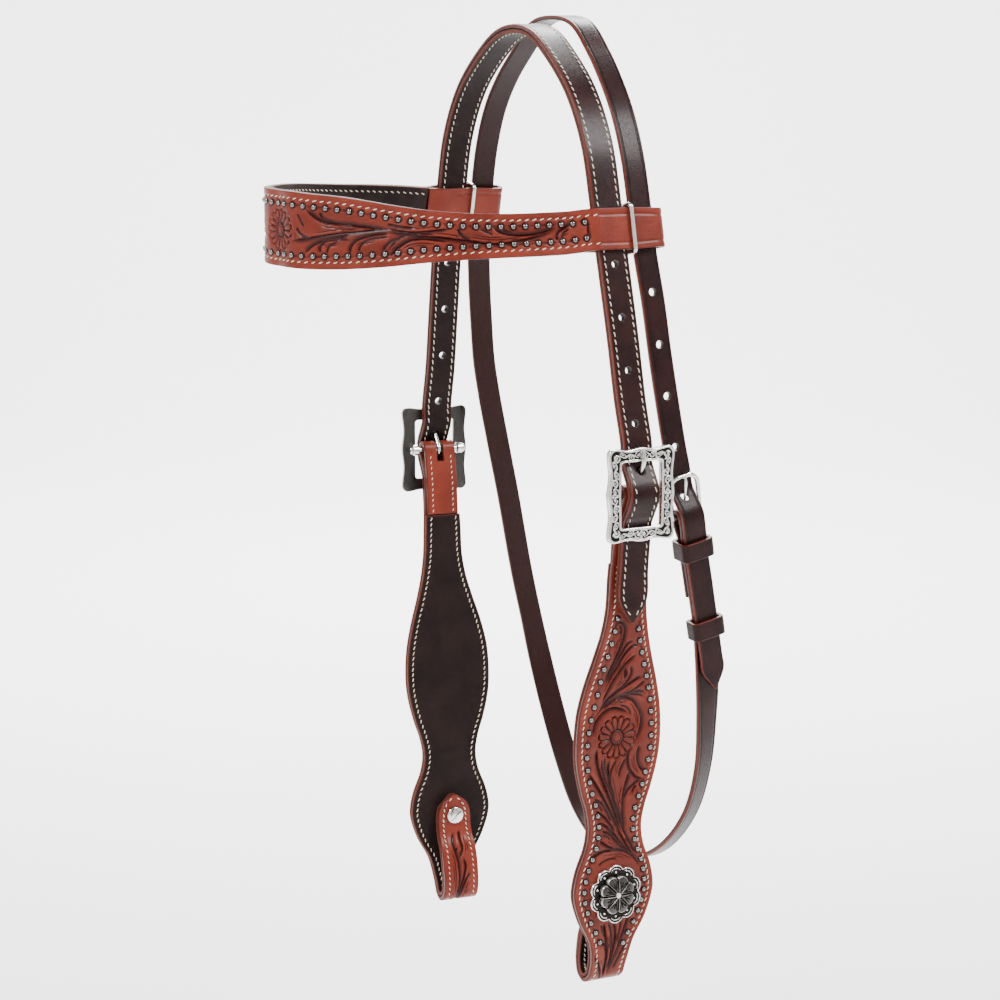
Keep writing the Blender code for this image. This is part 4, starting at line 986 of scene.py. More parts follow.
CHEEK_CUTS = (
    (-1, 0.6, 1.3, (-15.6, 82.9, -15.2, 87.5, -13.4, 91.1, -10.2, 94.3, -6.3, 95.9, -2.0, 95.9,
     1.9, 94.4, 5.1, 92.1)),
    (1, 0.5, 1.2, (-12.7, 94.3, -10.2, 96.8, -7.0, 99.1, -2.7, 100.9, 3.0, 101.8, 8.7, 101.4,
     13.7, 100.0)),
    (1, 0.65, 1.4, (-2.4, 99.6, 2.3, 100.1, 6.6, 98.6, 9.8, 94.6, 11.9, 90.4, 12.1, 85.7, 11.0,
     82.1, 9.8, 78.6, 8.7, 75.7)),
    (-1, 0.3, 0.7, (-0.6, 97.3, 2.6, 96.4, 5.1, 94.3, 6.6, 91.1)),
    (1, 0.65, 1.4, (12.1, 75.4, 10.9, 71.4, 11.4, 66.4, 13.4, 62.9, 16.2, 60.4)),
    (-1, 0.55, 1.2, (6.6, 74.3, 6.0, 69.3, 7.1, 64.3, 9.6, 60.6, 13.0, 58.2, 15.5, 57.7)),
    (-1, 0.65, 1.4, (-12.7, 76.4, -11.8, 69.3, -10.2, 63.6, -7.7, 57.9, -4.9, 52.1, -2.0, 45.7,
     0.9, 38.6, 3.7, 30.7)),
    (1, 0.45, 0.9, (-9.9, 70.7, -9.6, 66.4, -7.9, 60.7, -5.0, 55.0, -1.9, 48.6, 1.6, 41.1, 4.4,
     32.9)),
    (1, 0.3, 0.7, (-8.1, 72.0, -7.9, 66.4, -5.7, 60.0, -3.1, 54.1, -0.4, 47.9)),
    (-1, 0.55, 1.1, (-4.7, 70.1, -5.2, 65.0, -4.5, 59.3, -2.6, 52.9, -0.4, 45.7, 2.4, 38.6, 4.9,
     31.4)),
    (-1, 0.4, 0.8, (-0.4, 69.3, -2.9, 65.0, -4.0, 60.7, -3.3, 55.7)),
    (1, 0.45, 0.8, (4.4, 69.3, 2.4, 66.4, 1.0, 62.9, 0.7, 59.3)),
    (1, 0.65, 1.4, (7.1, 62.9, 5.5, 58.6, 4.1, 53.6, 3.4, 47.9, 3.4, 42.1, 4.1, 36.4, 5.3, 30.7)),
    (-1, 0.5, 1.1, (13.7, 57.0, 9.8, 55.0, 6.4, 51.8, 4.4, 47.9)),
    (-1, 0.5, 0.8, (11.6, 54.3, 10.3, 53.0, 9.1, 51.1)),
    (-1, 0.6, 1.3, (-17.0, 64.1, -13.1, 58.9, -8.8, 52.5, -4.3, 45.0, 0.0, 37.1, 3.4, 30.4)),
    (-1, 0.45, 0.9, (-13.1, 50.4, -9.1, 48.2, -5.6, 43.6, -2.4, 37.1)),
    (-1, 0.5, 0.9, (-11.6, 43.6, -7.7, 41.4, -3.8, 37.1, -0.2, 32.1)),
    (-1, 0.5, 0.9, (-9.9, 37.5, -6.3, 36.1, -2.4, 32.1, 0.5, 29.3)),
    (1, 0.3, 0.6, (-12.4, 48.6, -9.9, 45.7, -8.3, 42.9)),
    (-1, 0.5, 1.0, (0.5, 35.0, 3.4, 30.0, 7.3, 23.6, 11.2, 18.2, 13.0, 15.4)),
    (1, 0.6, 1.1, (3.0, 35.0, 5.1, 30.7, 8.4, 25.0, 11.6, 19.6)),
    (-1, 0.5, 0.9, (-3.4, 35.0, 0.1, 30.0, 4.4, 24.6, 9.1, 19.6, 12.1, 16.3)),
    (-1, 0.5, 0.9, (-8.3, 33.2, -4.1, 31.8, -0.4, 28.2, 3.4, 24.3, 6.6, 21.8)),
    (-1, 0.55, 1.0, (-9.1, 28.6, -6.3, 26.4, -2.4, 23.9, 3.0, 22.3, 6.6, 21.4)),
    (1, 0.3, 0.6, (-8.3, 30.4, -5.6, 30.0, -3.1, 27.9)),
    (1, 0.6, 1.3, (-15.2, 16.3, -12.4, 19.6, -8.8, 21.4, -4.1, 22.1, 0.9, 22.1, 5.1, 21.1, 9.1,
     18.9, 12.3, 15.7, 14.3, 12.1)),
    (-1, 0.3, 0.6, (-10.0, 15.7, -7.0, 17.5, -3.1, 18.4, 1.6, 18.1)),
    (-1, 0.55, 1.1, (-5.2, -14.3, -4.3, -19.3, -2.9, -25.7, -2.0, -32.9, -1.9, -40.7, -1.9,
     -45.7)),
    (1, 0.45, 0.9, (-3.1, -14.3, -1.3, -20.7, -0.2, -27.9, -0.4, -35.0, -1.1, -42.1)),
    (-1, 0.5, 0.9, (0.5, -14.3, 1.9, -20.7, 1.6, -27.9, 0.5, -35.0, -0.4, -42.1)),
    (1, 0.6, 1.2, (9.1, -11.4, 6.7, -17.9, 4.4, -25.0, 2.3, -32.1, 0.5, -39.3, -0.4, -44.3)),
    (1, 0.35, 0.7, (4.4, -14.3, 3.6, -19.3, 2.6, -25.7)),
    (-1, 0.6, 0.9, (-6.6, -24.6, -3.8, -26.4, -2.4, -30.7)),
    (1, 0.45, 0.9, (8.7, -27.1, 6.6, -29.6, 4.4, -35.0, 2.6, -41.4)),
    (-1, 0.45, 0.9, (-9.1, -31.4, -6.3, -36.4, -4.1, -42.1, -3.1, -47.1)),
    (-1, 0.35, 0.7, (-7.0, -15.0, -5.6, -19.3, -4.3, -22.1)),
    (1, 0.6, 1.1, (-5.6, 140.0, -3.1, 139.6, -1.4, 136.8, -1.6, 132.1, -3.1, 127.1, -5.2, 122.1,
     -7.0, 117.1)),
    (1, 0.4, 0.7, (-4.7, 138.6, -3.4, 136.4, -4.0, 133.9)),
    (-1, 0.5, 1.0, (-0.2, 138.2, -0.7, 132.9, -2.6, 127.1, -5.2, 120.7, -8.3, 114.3, -10.7,
     108.6)),
    (-1, 0.45, 0.9, (4.4, 129.9, 1.4, 128.4, -1.4, 124.3, -4.7, 118.6, -7.6, 113.2, -9.9, 108.6)),
    (-1, 0.5, 1.0, (8.4, 127.1, 4.1, 126.6, 0.7, 123.6, -3.1, 117.5, -6.3, 112.5, -8.8, 107.9)),
    (1, 0.55, 1.1, (6.9, 122.9, 1.9, 119.4, -2.6, 114.4, -6.3, 109.3, -9.1, 103.9, -11.6, 98.6)),
    (1, 0.5, 0.7, (1.7, 116.6, 0.6, 113.6, 1.3, 111.0, 2.4, 112.9, 1.7, 115.7)),
    (1, 0.5, 1.0, (3.7, 117.3, 4.6, 113.6, 3.4, 110.7, 1.2, 107.7, -3.1, 104.3, -7.4, 100.4)),
    (-1, 0.6, 1.2, (11.6, 110.9, 7.3, 108.7, 1.9, 105.9, -3.1, 103.6, -8.1, 100.1, -12.4, 95.4)),
    (1, 0.4, 0.8, (13.0, 108.7, 9.8, 106.4, 5.1, 103.7, 0.1, 102.7)),
    (-1, 0.55, 1.1, (14.1, 101.8, 9.1, 102.9, 4.4, 101.6, -1.6, 100.7, -6.6, 98.0, -10.2, 95.0)),
    (-1, 0.5, 0.9, (-1.6, -89.9, -3.5, -83.9, -2.7, -78.7, -1.9, -74.4, -1.5, -70.1, -1.5, -63.3,
     -2.4, -56.4, -2.9, -48.7)),
    (1, 0.45, 0.8, (2.1, -90.7, 1.9, -85.6, 2.2, -79.6, -0.5, -74.4)),
    (1, 0.5, 0.7, (-0.8, -80.9, -2.0, -77.9, -1.2, -74.4)),
    (1, 0.5, 0.9, (2.0, -75.3, 3.1, -71.0, 1.7, -65.0, -1.0, -57.3, -1.7, -48.7)),
    (1, 0.5, 0.8, (5.9, -66.7, 2.6, -62.4, 0.3, -57.3, -1.0, -48.7)),
)
BROW_CUTS = (
    (1, 0.6, 1.3, (-5.1, 11.6, -3.9, 18.0, -1.9, 28.0, -0.4, 35.9, 0.7, 44.4, 2.1, 53.7, 3.3,
     63.7, 3.6, 68.0)),
    (1, 0.45, 0.9, (-3.3, 22.3, -2.7, 18.7, -0.1, 15.5, 2.1, 15.0)),
    (-1, 0.3, 0.7, (8.1, 15.1, 4.6, 17.3, 1.7, 19.4)),
    (-1, 0.65, 1.4, (11.0, 19.4, 9.6, 20.9, 6.9, 24.8, 4.8, 29.4, 4.1, 35.9, 3.9, 43.0, 3.4,
     50.1, 3.1, 57.3, 3.7, 63.7)),
    (-1, 0.5, 0.9, (9.6, 27.4, 6.7, 29.4, 5.4, 33.0, 4.9, 37.3)),
    (-1, 0.65, 1.3, (-10.8, 20.1, -7.4, 23.7, -5.0, 28.0, -3.3, 33.7, -1.7, 39.4, -0.4, 44.4)),
    (-1, 0.5, 1.0, (-10.4, 28.9, -7.0, 28.6, -4.7, 30.9, -3.6, 34.4, -3.1, 39.4, -3.3, 44.1)),
    (-1, 0.3, 0.7, (-10.1, 32.3, -6.9, 33.1, -4.3, 37.3)),
    (-1, 0.6, 1.2, (-10.1, 44.3, -6.1, 44.8, -3.1, 47.3, -1.1, 52.3, 0.1, 57.3, 0.9, 63.7)),
    (-1, 0.35, 0.7, (-8.9, 48.7, -5.3, 49.6, -2.7, 53.0, -1.4, 58.0, -0.6, 63.7)),
    (-1, 0.5, 1.0, (-9.1, 60.9, -5.3, 61.9, -2.6, 65.1, -1.7, 68.7)),
    (-1, 0.6, 1.2, (-10.0, 64.0, -5.5, 68.2, -2.5, 73.0, -1.4, 79.0, -1.8, 85.0, -2.8, 92.0)),
    (-1, 0.45, 0.9, (-6.2, 64.0, -2.0, 67.2, 0.5, 73.0, 1.2, 79.0, 0.6, 85.5)),
    (1, 0.55, 1.1, (2.2, 61.0, 1.0, 71.0, 0.0, 81.0, -0.4, 89.0, -1.4, 96.0, -2.2, 103.0, -3.4,
     110.0, -3.6, 117.0, -2.6, 125.0, -1.2, 133.0, 0.4, 140.0, 2.8, 146.0)),
    (-1, 0.5, 1.0, (3.8, 95.5, 0.0, 97.8, -1.8, 102.0)),
    (-1, 0.3, 0.7, (3.5, 106.0, 1.5, 110.0, 0.4, 113.0)),
    (-1, 0.65, 1.3, (4.5, 112.8, 2.2, 115.0, 0.6, 119.0, -0.2, 125.0, -0.2, 132.0, 1.0, 139.0,
     2.8, 145.0)),
    (-1, 0.35, 0.7, (4.0, 116.8, 2.2, 118.8, 1.2, 123.0)),
    (-1, 0.55, 1.0, (-3.8, 145.0, 0.0, 146.0, 2.4, 149.5, 3.6, 152.8)),
    (-1, 0.35, 0.7, (-3.0, 147.5, -0.4, 148.6, 1.6, 151.5)),
    (1, 0.5, 1.0, (3.4, 63.0, 2.2, 71.0, 2.2, 79.0, 3.2, 87.0, 3.8, 93.0)),
    (1, 0.4, 0.8, (5.8, 62.0, 4.6, 69.0, 4.0, 76.5)),
    (1, 0.4, 0.7, (-4.7, 161.3, 0.0, 160.9, 3.8, 161.4)),
)


@dataclass(frozen=True)
class Tooling:
    """The carved face of a strap: cuts, a flower, stitch grooves and the seats of its spots."""
    cuts: tuple
    flower: Blossom
    origin: float
    turn: int
    spots: tuple
    stitch_inset: float
    seams: tuple
    mirrored: bool = False

    def __call__(self, s: Array, u: Array, half: Array) -> tuple[Array, Array]:
        """Return the height and the stain of the face at places on it.

        Args:
            s: distances along the route.
            u: distances across it.
            half: half widths there.

        Returns:
            Heights in metres, and stains from 0 to 1 that also hold painted shade and painted highlight.
        """
        along = (s - self.origin) * self.turn / MM
        if self.mirrored:
            along = np.abs(along)
        flat = np.stack((u / MM, along), -1)
        height, stain, swell = np.zeros((3, len(s)))
        for cut in self.cuts:
            cut.press(flat, height, stain, swell)
        swell *= np.clip(1 + height / 0.3, 0, 1)
        height += swell
        offset = np.stack((u / MM, (s - self.origin) * self.turn / MM), -1)
        self.flower.press(offset, height, stain)
        self.border(flat, height, stain)
        # painted highlight: the stain is lowered on the swollen banks beside the cuts
        stain -= 0.6 * swell
        edge = (half - np.abs(u)) / MM
        for low, high in self.seams:
            inside = (along > low) & (along < high)
            groove = np.exp(-((edge - self.stitch_inset) / 0.7) ** 2) * inside
            height = np.minimum(height, -0.28 * groove)
            stain = np.maximum(stain, 0.3 * groove)
        for across, place in self.spots:
            near = (np.abs(flat[:, 0] - across) < 3.5) & (np.abs(flat[:, 1] - place) < 3.5)
            r = np.hypot(flat[near, 0] - across, flat[near, 1] - place)
            # painted contact shadow and stain: a dark ring round each spot's seat
            seat = np.exp(-((r - 1.55) / 0.5) ** 2)
            height[near] = np.where(r < 1.6, -0.3, np.minimum(height[near], -0.45 * seat))
            stain[near] = np.maximum(stain[near], 0.95 * seat)
        return height * MM, stain

    def border(self, flat: Array, height: Array, stain: Array) -> None:
        """Sink the border line that the spots sit on and darken the ground inside it."""
        u, along = flat.T
        spots = np.array(sorted(self.spots, key=lambda place: place[1]))
        left, right = (spots[spots[:, 0] * sign > 0] for sign in (-1, 1))
        low, high = spots[0, 1] - 1.5, spots[-1, 1] + 1.5
        ends = np.clip(np.minimum(along - low, high - along) / 1.5, 0, 1)
        first = u - np.interp(along, left[:, 1], left[:, 0])
        last = np.interp(along, right[:, 1], right[:, 0]) - u
        inner = np.minimum(first, last)
        line = np.exp(-((inner + 0.5) / np.where(inner > -0.5, 1.5, 0.5)) ** 2) * ends
        height -= 0.3 * line
        ragged = 0.5 + 0.25 * np.sin(along * 2.1 + 2 * np.sin(along * 0.57))
        stain[:] = np.maximum(stain, line * ragged)
        stain[:] = np.maximum(stain, 0.3 * ends * np.clip(inner + 0.5, 0, 1))


def seats(route: Route, s: Array, across: Callable[[Array], Array], level: float,
          slant: float = 0.0, flip: int = 1) -> list[Array]:
    """Return an axes table for each small thing that sits on a strap.

    Args:
        route: the strap's route.
        s: distances along it.
        across: gives the distance across for a distance along.
        level: how far out from the route the surface lies.
        slant: how far each thing turns from the row's own way.
        flip: -1 for things on the strap's inner side.
    """
    step = 0.3 * MM
    before, after = s - step, s + step
    ahead = unit(route.surface(after, across(after), level)
                 - route.surface(before, across(before), level))
    _, side, normal, _ = route.at(s)
    way = ahead * math.cos(slant) + side * math.sin(slant)
    return [axes_matrix(place, out * flip, along)
            for place, out, along in zip(route.surface(s, across(s), level), normal, way)]


def stitch(size: float) -> bpy.types.Object:
    """Return one stitch lying along x, its ends sunk into the leather."""
    points = np.array(((-1.25, 0, -0.6), (-0.95, 0, -0.02), (-0.4, 0, 0.12),
                       (0.4, 0, 0.12), (0.95, 0, -0.02), (1.25, 0, -0.6))) * MM * size
    return rod("stitch", points, np.array((0.15, 0.22, 0.28, 0.28, 0.22, 0.15)) * MM, 1)


def spot() -> bpy.types.Object:
    """Return one domed spot."""
    rings = ((0.9, -0.7), (1.3, -0.2), (1.36, 0.2), (1.14, 0.78), (0.62, 1.12))
    return turned("spot", [(r * MM, z * MM) for r, z in rings], 12)


def both_edges(route: Route, s: Array, inset: float, level: float, slant: float,
               flip: int = 1) -> list[Array]:
    """Return the tables of two stitch rows along a strap's edges."""
    s = s[route.at(s)[3] > inset + 0.15 * MM]
    tables = []
    for sign in (1, -1):
        def row(run: Array, sign: int = sign) -> Array:
            """Return how far across the row lies."""
            return sign * (route.at(run)[3] - inset)
        tables += seats(route, s, row, level, slant, flip)
    return tables


def spotted(route: Route, s: Array, across: Array, level: float) -> list[Array]:
    """Return the tables of spots at their places along and across a strap."""
    tables = []
    for place, u in zip(s, across):
        tables += seats(route, np.array([place]), lambda run, u=u: np.full(len(run), u), level)
    return tables


# Crown strap

@dataclass
class Crown:
    """The doubled crown strap with its punched holes and pointed tails."""
    tail: float = 0.064
    point: float = 0.012
    tip_width: float = 0.001
    holes: int = 4
    lead: float = 0.0015
    spread: tuple = (0.165, 0.324, 0.545, 0.693, 0.776, 0.824, 0.9, 0.95)
    down: tuple = (0.013, 0.0566, 0.150, 0.2695, 0.420, 0.528, 0.727, 0.8745)
    turns: tuple = (0.0, 0.0, 0.0, 0.0, 0.0, 0.0, 0.35, 0.75)
    leads: tuple = (0.3, 0.7, 1.0, 1.0, 0.8, 0.5, 0.0, 0.0)
    inset: float = 0.0023
    pitch: float = 0.0037

    def __post_init__(self) -> None:
        """Lay out the route from the right tail over the poll to the left."""
        halves = {side.hand: self.side_knots(side) + self.tail_knots(side) for side in SIDES}
        top = knot(np.array((0, 0, STOCK.crown_stack / 2)), BACK, STOCK.crown_width / 2)
        knots = halves[Hand.RIGHT][::-1] + [top] + halves[Hand.LEFT]
        self.route = Route(spline(knots, LAYOUT_CUTS))

    def side_knots(self, side: Side) -> list[Array]:
        """Return the knots from beside the poll down to the tail."""
        half, low = STOCK.crown_width / 2, STOCK.crown_stack / 2
        top = side.at(STRAP_OUT, BUCKLE.bar_line)
        knots = []
        for spread, down, turn, lead in zip(self.spread, self.down, self.turns, self.leads):
            place = np.array((top[0] * spread, top[1] * turn - self.lead * lead,
                              low + (top[2] - low) * down))
            knots.append(knot(place, BACK + (side.back_way - BACK) * turn, half))
        above = BUCKLE.bar_line + (BUCKLE.height - BUCKLE.window_height) / 4
        knots.append(knot(side.at(STRAP_OUT, above), side.back_way, half))
        over = climb(-BUCKLE.set_in, CREST_RADIUS, STRAP_OUT - STOCK.gap)
        for out, rise in over + [(CREST_OUT, 0)]:
            knots.append(knot(side.at(out, rise), side.back_way, half))
        for out, rise in over[::-1]:
            knots.append(knot(side.at(out, -rise), side.back_way, half))
        return knots

    def tail_knots(self, side: Side) -> list[Array]:
        """Return the knots from the buckle to the pointed tail."""
        half, straight = STOCK.crown_width / 2, self.tail - self.point
        rows = ((straight * 0.72, half), (straight, half),
                (straight + self.point / 2, half * 0.6 + self.tip_width / 4),
                (self.tail, self.tip_width / 2))
        return [knot(side.hang(face_out(drop) + TAIL_STEP, drop), side.back_way, width)
                for drop, width in rows]

    def hole_spots(self) -> list[tuple[Array, Array, float]]:
        """Return place, axis and diameter of each hole."""
        spots = []
        for side in SIDES:
            foot, head = (side.at(out, rise) for out, rise in cart_tongue_line()[-4:-2])
            middle = (foot + head) / 2
            spots.append((middle, head - foot, STOCK.tongue_hole))
            for count in range(1, self.holes + 1):
                height = middle[2] + count * STOCK.hole_pitch - side.hole_slip
                place, _, normal, _ = self.route.at(self.route.at_height(height, side.hand))
                spots.append((place, normal, STOCK.hole))
        return spots

    def build(self, looks: Finishes) -> None:
        """Make both layers, punch them and stitch them together."""
        shift = (STOCK.crown + STOCK.gap) / 2
        spans = paced(self.route.end, (), 1.2 * MM, 1)
        spots = self.hole_spots()
        for name, level, finish, slot, faced in (
                ("crown_strap", shift, looks.dark, Slot.DARK, False),
                ("crown_lining", -shift, looks.lining, Slot.LINING, True)):
            layer = Strip(f"{name}_leather", self.route, level, STOCK.crown, spans, 28,
                          faced=faced).build()
            punch(layer, spots, 3 * STOCK.crown_stack)
            close_up(layer)
            dress(layer, finish, "headpiece", slot, name)
        s = np.arange(2.2 * MM, self.route.end - 2.2 * MM, self.pitch)
        outer = shift + STOCK.crown / 2
        tables = both_edges(self.route, s, self.inset, outer, 0.2)
        tables += both_edges(self.route, s, self.inset, -outer, -0.2, -1)
        dress(scattered("crown_stitching", stitch(1.1), tables), looks.thread, "headpiece", None)


# Cheek pieces

@dataclass
class Cheek:
    """One cheek piece: tooled face, lining, stitching and spots."""
    side: Side
    stitch_inset: float = 0.0029
    stitch_pitch: float = 0.0029
    spot_inset: float = 0.0056
    spot_count: int = 29
    spot_tops: tuple = (0.1421, 0.1359)
    spot_feet: tuple = (-0.0245, -0.0267)
    slot_width: float = 0.0042
    slot_drop: float = 0.006
    bore: float = 0.006

    def __post_init__(self) -> None:
        """Lay out the route from the flap round the bar to the folded tip."""
        self.route = Route(spline(self.knots(), LAYOUT_CUTS), self.side.sign)
        self.fold_top = int(np.argmax(self.route.place[:, 2]))
        self.screw_s = self.route.crossing(self.side.hang(0, CHEEK.screw_drop)[2], self.fold_top)
        self.body = f"{self.side.word}_cheek"

    def knots(self) -> list[Array]:
        """Return the knots of the tooled layer."""
        side, across = self.side, self.side.back_way
        pair, neck = STOCK.cheek + STOCK.gap, CHEEK.neck_half
        rows = [knot(side.hang(face_out(CHEEK.flap * share) - pair, CHEEK.flap * share),
                     across, neck) for share in (1.0, 0.85, 0.7)]
        low = FACE_NECK_OUT - pair - STOCK.gap
        rows.append(knot(side.at(low, -BUCKLE.bar_line), across, neck))
        rows.append(knot(side.at((low - BUCKLE.set_in - FOLD_RADIUS) / 2,
                                 -BUCKLE.bar_line * 0.45), across, neck))
        for step in range(7):
            angle = math.pi - (math.pi + CLIMB) * step / 7
            rows.append(knot(side.at(FOLD_RADIUS * math.cos(angle) - BUCKLE.set_in,
                                     FOLD_RADIUS * math.sin(angle)), across, neck))
        for out, rise in climb(-BUCKLE.set_in, FOLD_RADIUS, FACE_NECK_OUT)[::-1]:
            rows.append(knot(side.at(out, -rise), across, neck))
        for drop, inward, width in zip(CHEEK.drop_shares, CHEEK.in_shares, CHEEK.width_shares):
            rows.append(knot(side.hang(-CHEEK.line_in * inward, CHEEK.screw_drop * drop),
                             across, CHEEK.half_width * width))
        for inward, down, width in zip(CHEEK.loop_in, CHEEK.loop_down, CHEEK.loop_width):
            rows.append(knot(side.hang(-CHEEK.line_in - side.loop_reach * inward,
                                       CHEEK.screw_drop + CHEEK.loop_drop * down),
                             across, CHEEK.fold_half * width))
        tip = -CHEEK.line_in - CHEEK.return_step
        rows.append(knot(side.hang(tip - STOCK.gap, CHEEK.screw_drop + CHEEK.tip_rise / 2),
                         across, CHEEK.fold_half * 0.95))
        for rise, width in zip(CHEEK.tip_rises, CHEEK.tip_widths):
            rows.append(knot(side.hang(tip, CHEEK.screw_drop - CHEEK.tip_rise * rise), across,
                             CHEEK.fold_half * width))
        return rows

    def spot_places(self) -> list[tuple[float, float]]:
        """Return (u, s) in millimetres of every spot of the front and the rear column."""
        places = []
        for sign, foot, top in zip((-1, 1), self.spot_feet, self.spot_tops):
            up = np.linspace(foot, top, 400)
            pace = 1 / (5.4 + 0.95 / (1 + np.exp((47 - up / MM) / 6)))
            count = np.concatenate(([0], np.cumsum(pace[1:])))
            levels = np.interp(np.linspace(0, count[-1], self.spot_count), count, up)
            half = self.route.at(self.screw_s - levels)[3]
            level = levels / MM
            more = np.where(sign < 0, 1.8 * np.exp(-((level - 100) / 16) ** 2),
                            -1.1 * np.exp(-((level - 20) / 13) ** 2))
            places += zip(sign * ((half - self.spot_inset) / MM - more), level)
        return places

    def build(self, looks: Finishes) -> None:
        """Make the leather, its stitching and its spots."""
        spots = self.spot_places()
        tooling = Tooling(tuple(Cut(*row) for row in CHEEK_CUTS), Blossom((-1.2, 80.5), 10.7),
                          self.screw_s, -1, tuple(spots), self.stitch_inset / MM,
                          ((-44, 190), (-200, -80)))
        end, screw = self.route.end, self.screw_s
        spans = paced(end, ((screw - 150 * MM, screw + 92 * MM, 0.46 * MM),
                            (end - 26 * MM, end, 0.6 * MM)), 1.1 * MM, 4)
        face = Strip(f"{self.side.word}_cheek_tooled", self.route, 0, STOCK.cheek, spans, 112,
                     cuts=3, relief=tooling).build()
        self.cut_slot(face)
        seat = self.side.hang(-CHEEK.line_in - CHEEK.return_step / 2, CHEEK.screw_drop)
        bore = [(seat, self.side.out_way, self.bore)]
        reach = 2 * (CHEEK.return_step + STOCK.cheek)
        punch(face, bore, reach)
        close_up(face)
        dress(face, looks.tooled, self.body, Slot.TOOLED, f"{self.side.word}_cheek_face")
        start = self.route.crossing(self.side.bar[2] - CHEEK.flap - STOCK.gap, self.fold_top)
        inset = -(STOCK.cheek + STOCK.cheek_lining) / 2 - STOCK.gap
        lining = Strip(f"{self.side.word}_cheek_backing", self.route, inset, STOCK.cheek_lining,
                       paced(end - start, (), 1.4 * MM, 1), 28, start=start, faced=True).build()
        punch(lining, bore, reach)
        close_up(lining)
        dress(lining, looks.lining, self.body, Slot.LINING, f"{self.side.word}_cheek_lining")
        self.stitch_up(looks, start, inset)
        across, level = (np.array(column) * MM for column in zip(*spots))
        tables = spotted(self.route, screw - level, across, STOCK.cheek / 2 - 0.3 * MM)
        dress(scattered(f"{self.body}_spots", spot(), tables), looks.nickel, self.body, Slot.STEEL)

    def cut_slot(self, face: bpy.types.Object) -> None:
        """Cut the slot that the buckle's tongue comes through."""
        reach = FOLD_RADIUS + STOCK.cheek
        bpy.ops.object.select_all(action="DESELECT")
        bpy.ops.mesh.primitive_cube_add(size=1)
        cutter = bpy.context.object
        size = np.array((self.slot_width, 2 * reach, reach + self.slot_drop))
        table = axes_matrix(self.side.bar + UP * (reach - self.slot_drop) / 2, UP,
                            self.side.back_way)
        put(cutter, placed(table, corners(cutter) * size))
        apply_boolean(face, cutter)

    def stitch_up(self, looks: Finishes, start: float, inset: float) -> None:
        """Stitch face, flap, lining and folded tip."""
        route, pitch, screw = self.route, self.stitch_pitch, self.screw_s
        top = STOCK.cheek / 2 - 0.2 * MM
        neck = route.crossing(self.side.bar[2] - 13 * MM, self.fold_top)
        under = inset - STOCK.cheek_lining / 2
        tables = both_edges(route, np.arange(neck, route.end - 2 * MM, pitch), self.stitch_inset,
                            top, -0.33)
        tables += both_edges(route, np.arange(2 * MM, CHEEK.flap - 4 * MM, pitch),
                             self.stitch_inset, top, 0.33)
        hidden = (screw + 84 * MM, route.end)
        inner = np.arange(start + 2 * MM, hidden[0], pitch)
        tables += both_edges(route, inner, self.stitch_inset, under, -0.36, -1)
        dress(scattered(f"{self.body}_stitching", stitch(0.86), tables), looks.thread, self.body,
              None)


# Browband

@dataclass
class Eye:
    """The flat eye at one end of the browband, round both straps."""
    side: Side
    crown: Route
    throat: Route

    def __post_init__(self) -> None:
        """Find the eye's place on the crown strap."""
        height = -self.side.eye_drop
        place, _, normal, _ = self.crown.at(self.crown.at_height(height, self.side.hand))
        self.centre, self.out_way = place, normal
        up = np.cross(BACK, normal)
        self.up_way = up if up[2] > 0 else -up
        behind = self.throat.at(self.throat.at_height(height, self.side.hand))[0]
        self.rear = float((behind - place)[1]) + STOCK.throat_width / 2 + STOCK.gap
        self.layer_out = STOCK.crown_stack / 2 + STOCK.gap + STOCK.browband / 2

    def at(self, out: float, back: float) -> Array:
        """Return the place at a distance out and back from the crown strap."""
        return self.centre + self.out_way * out + BACK * back


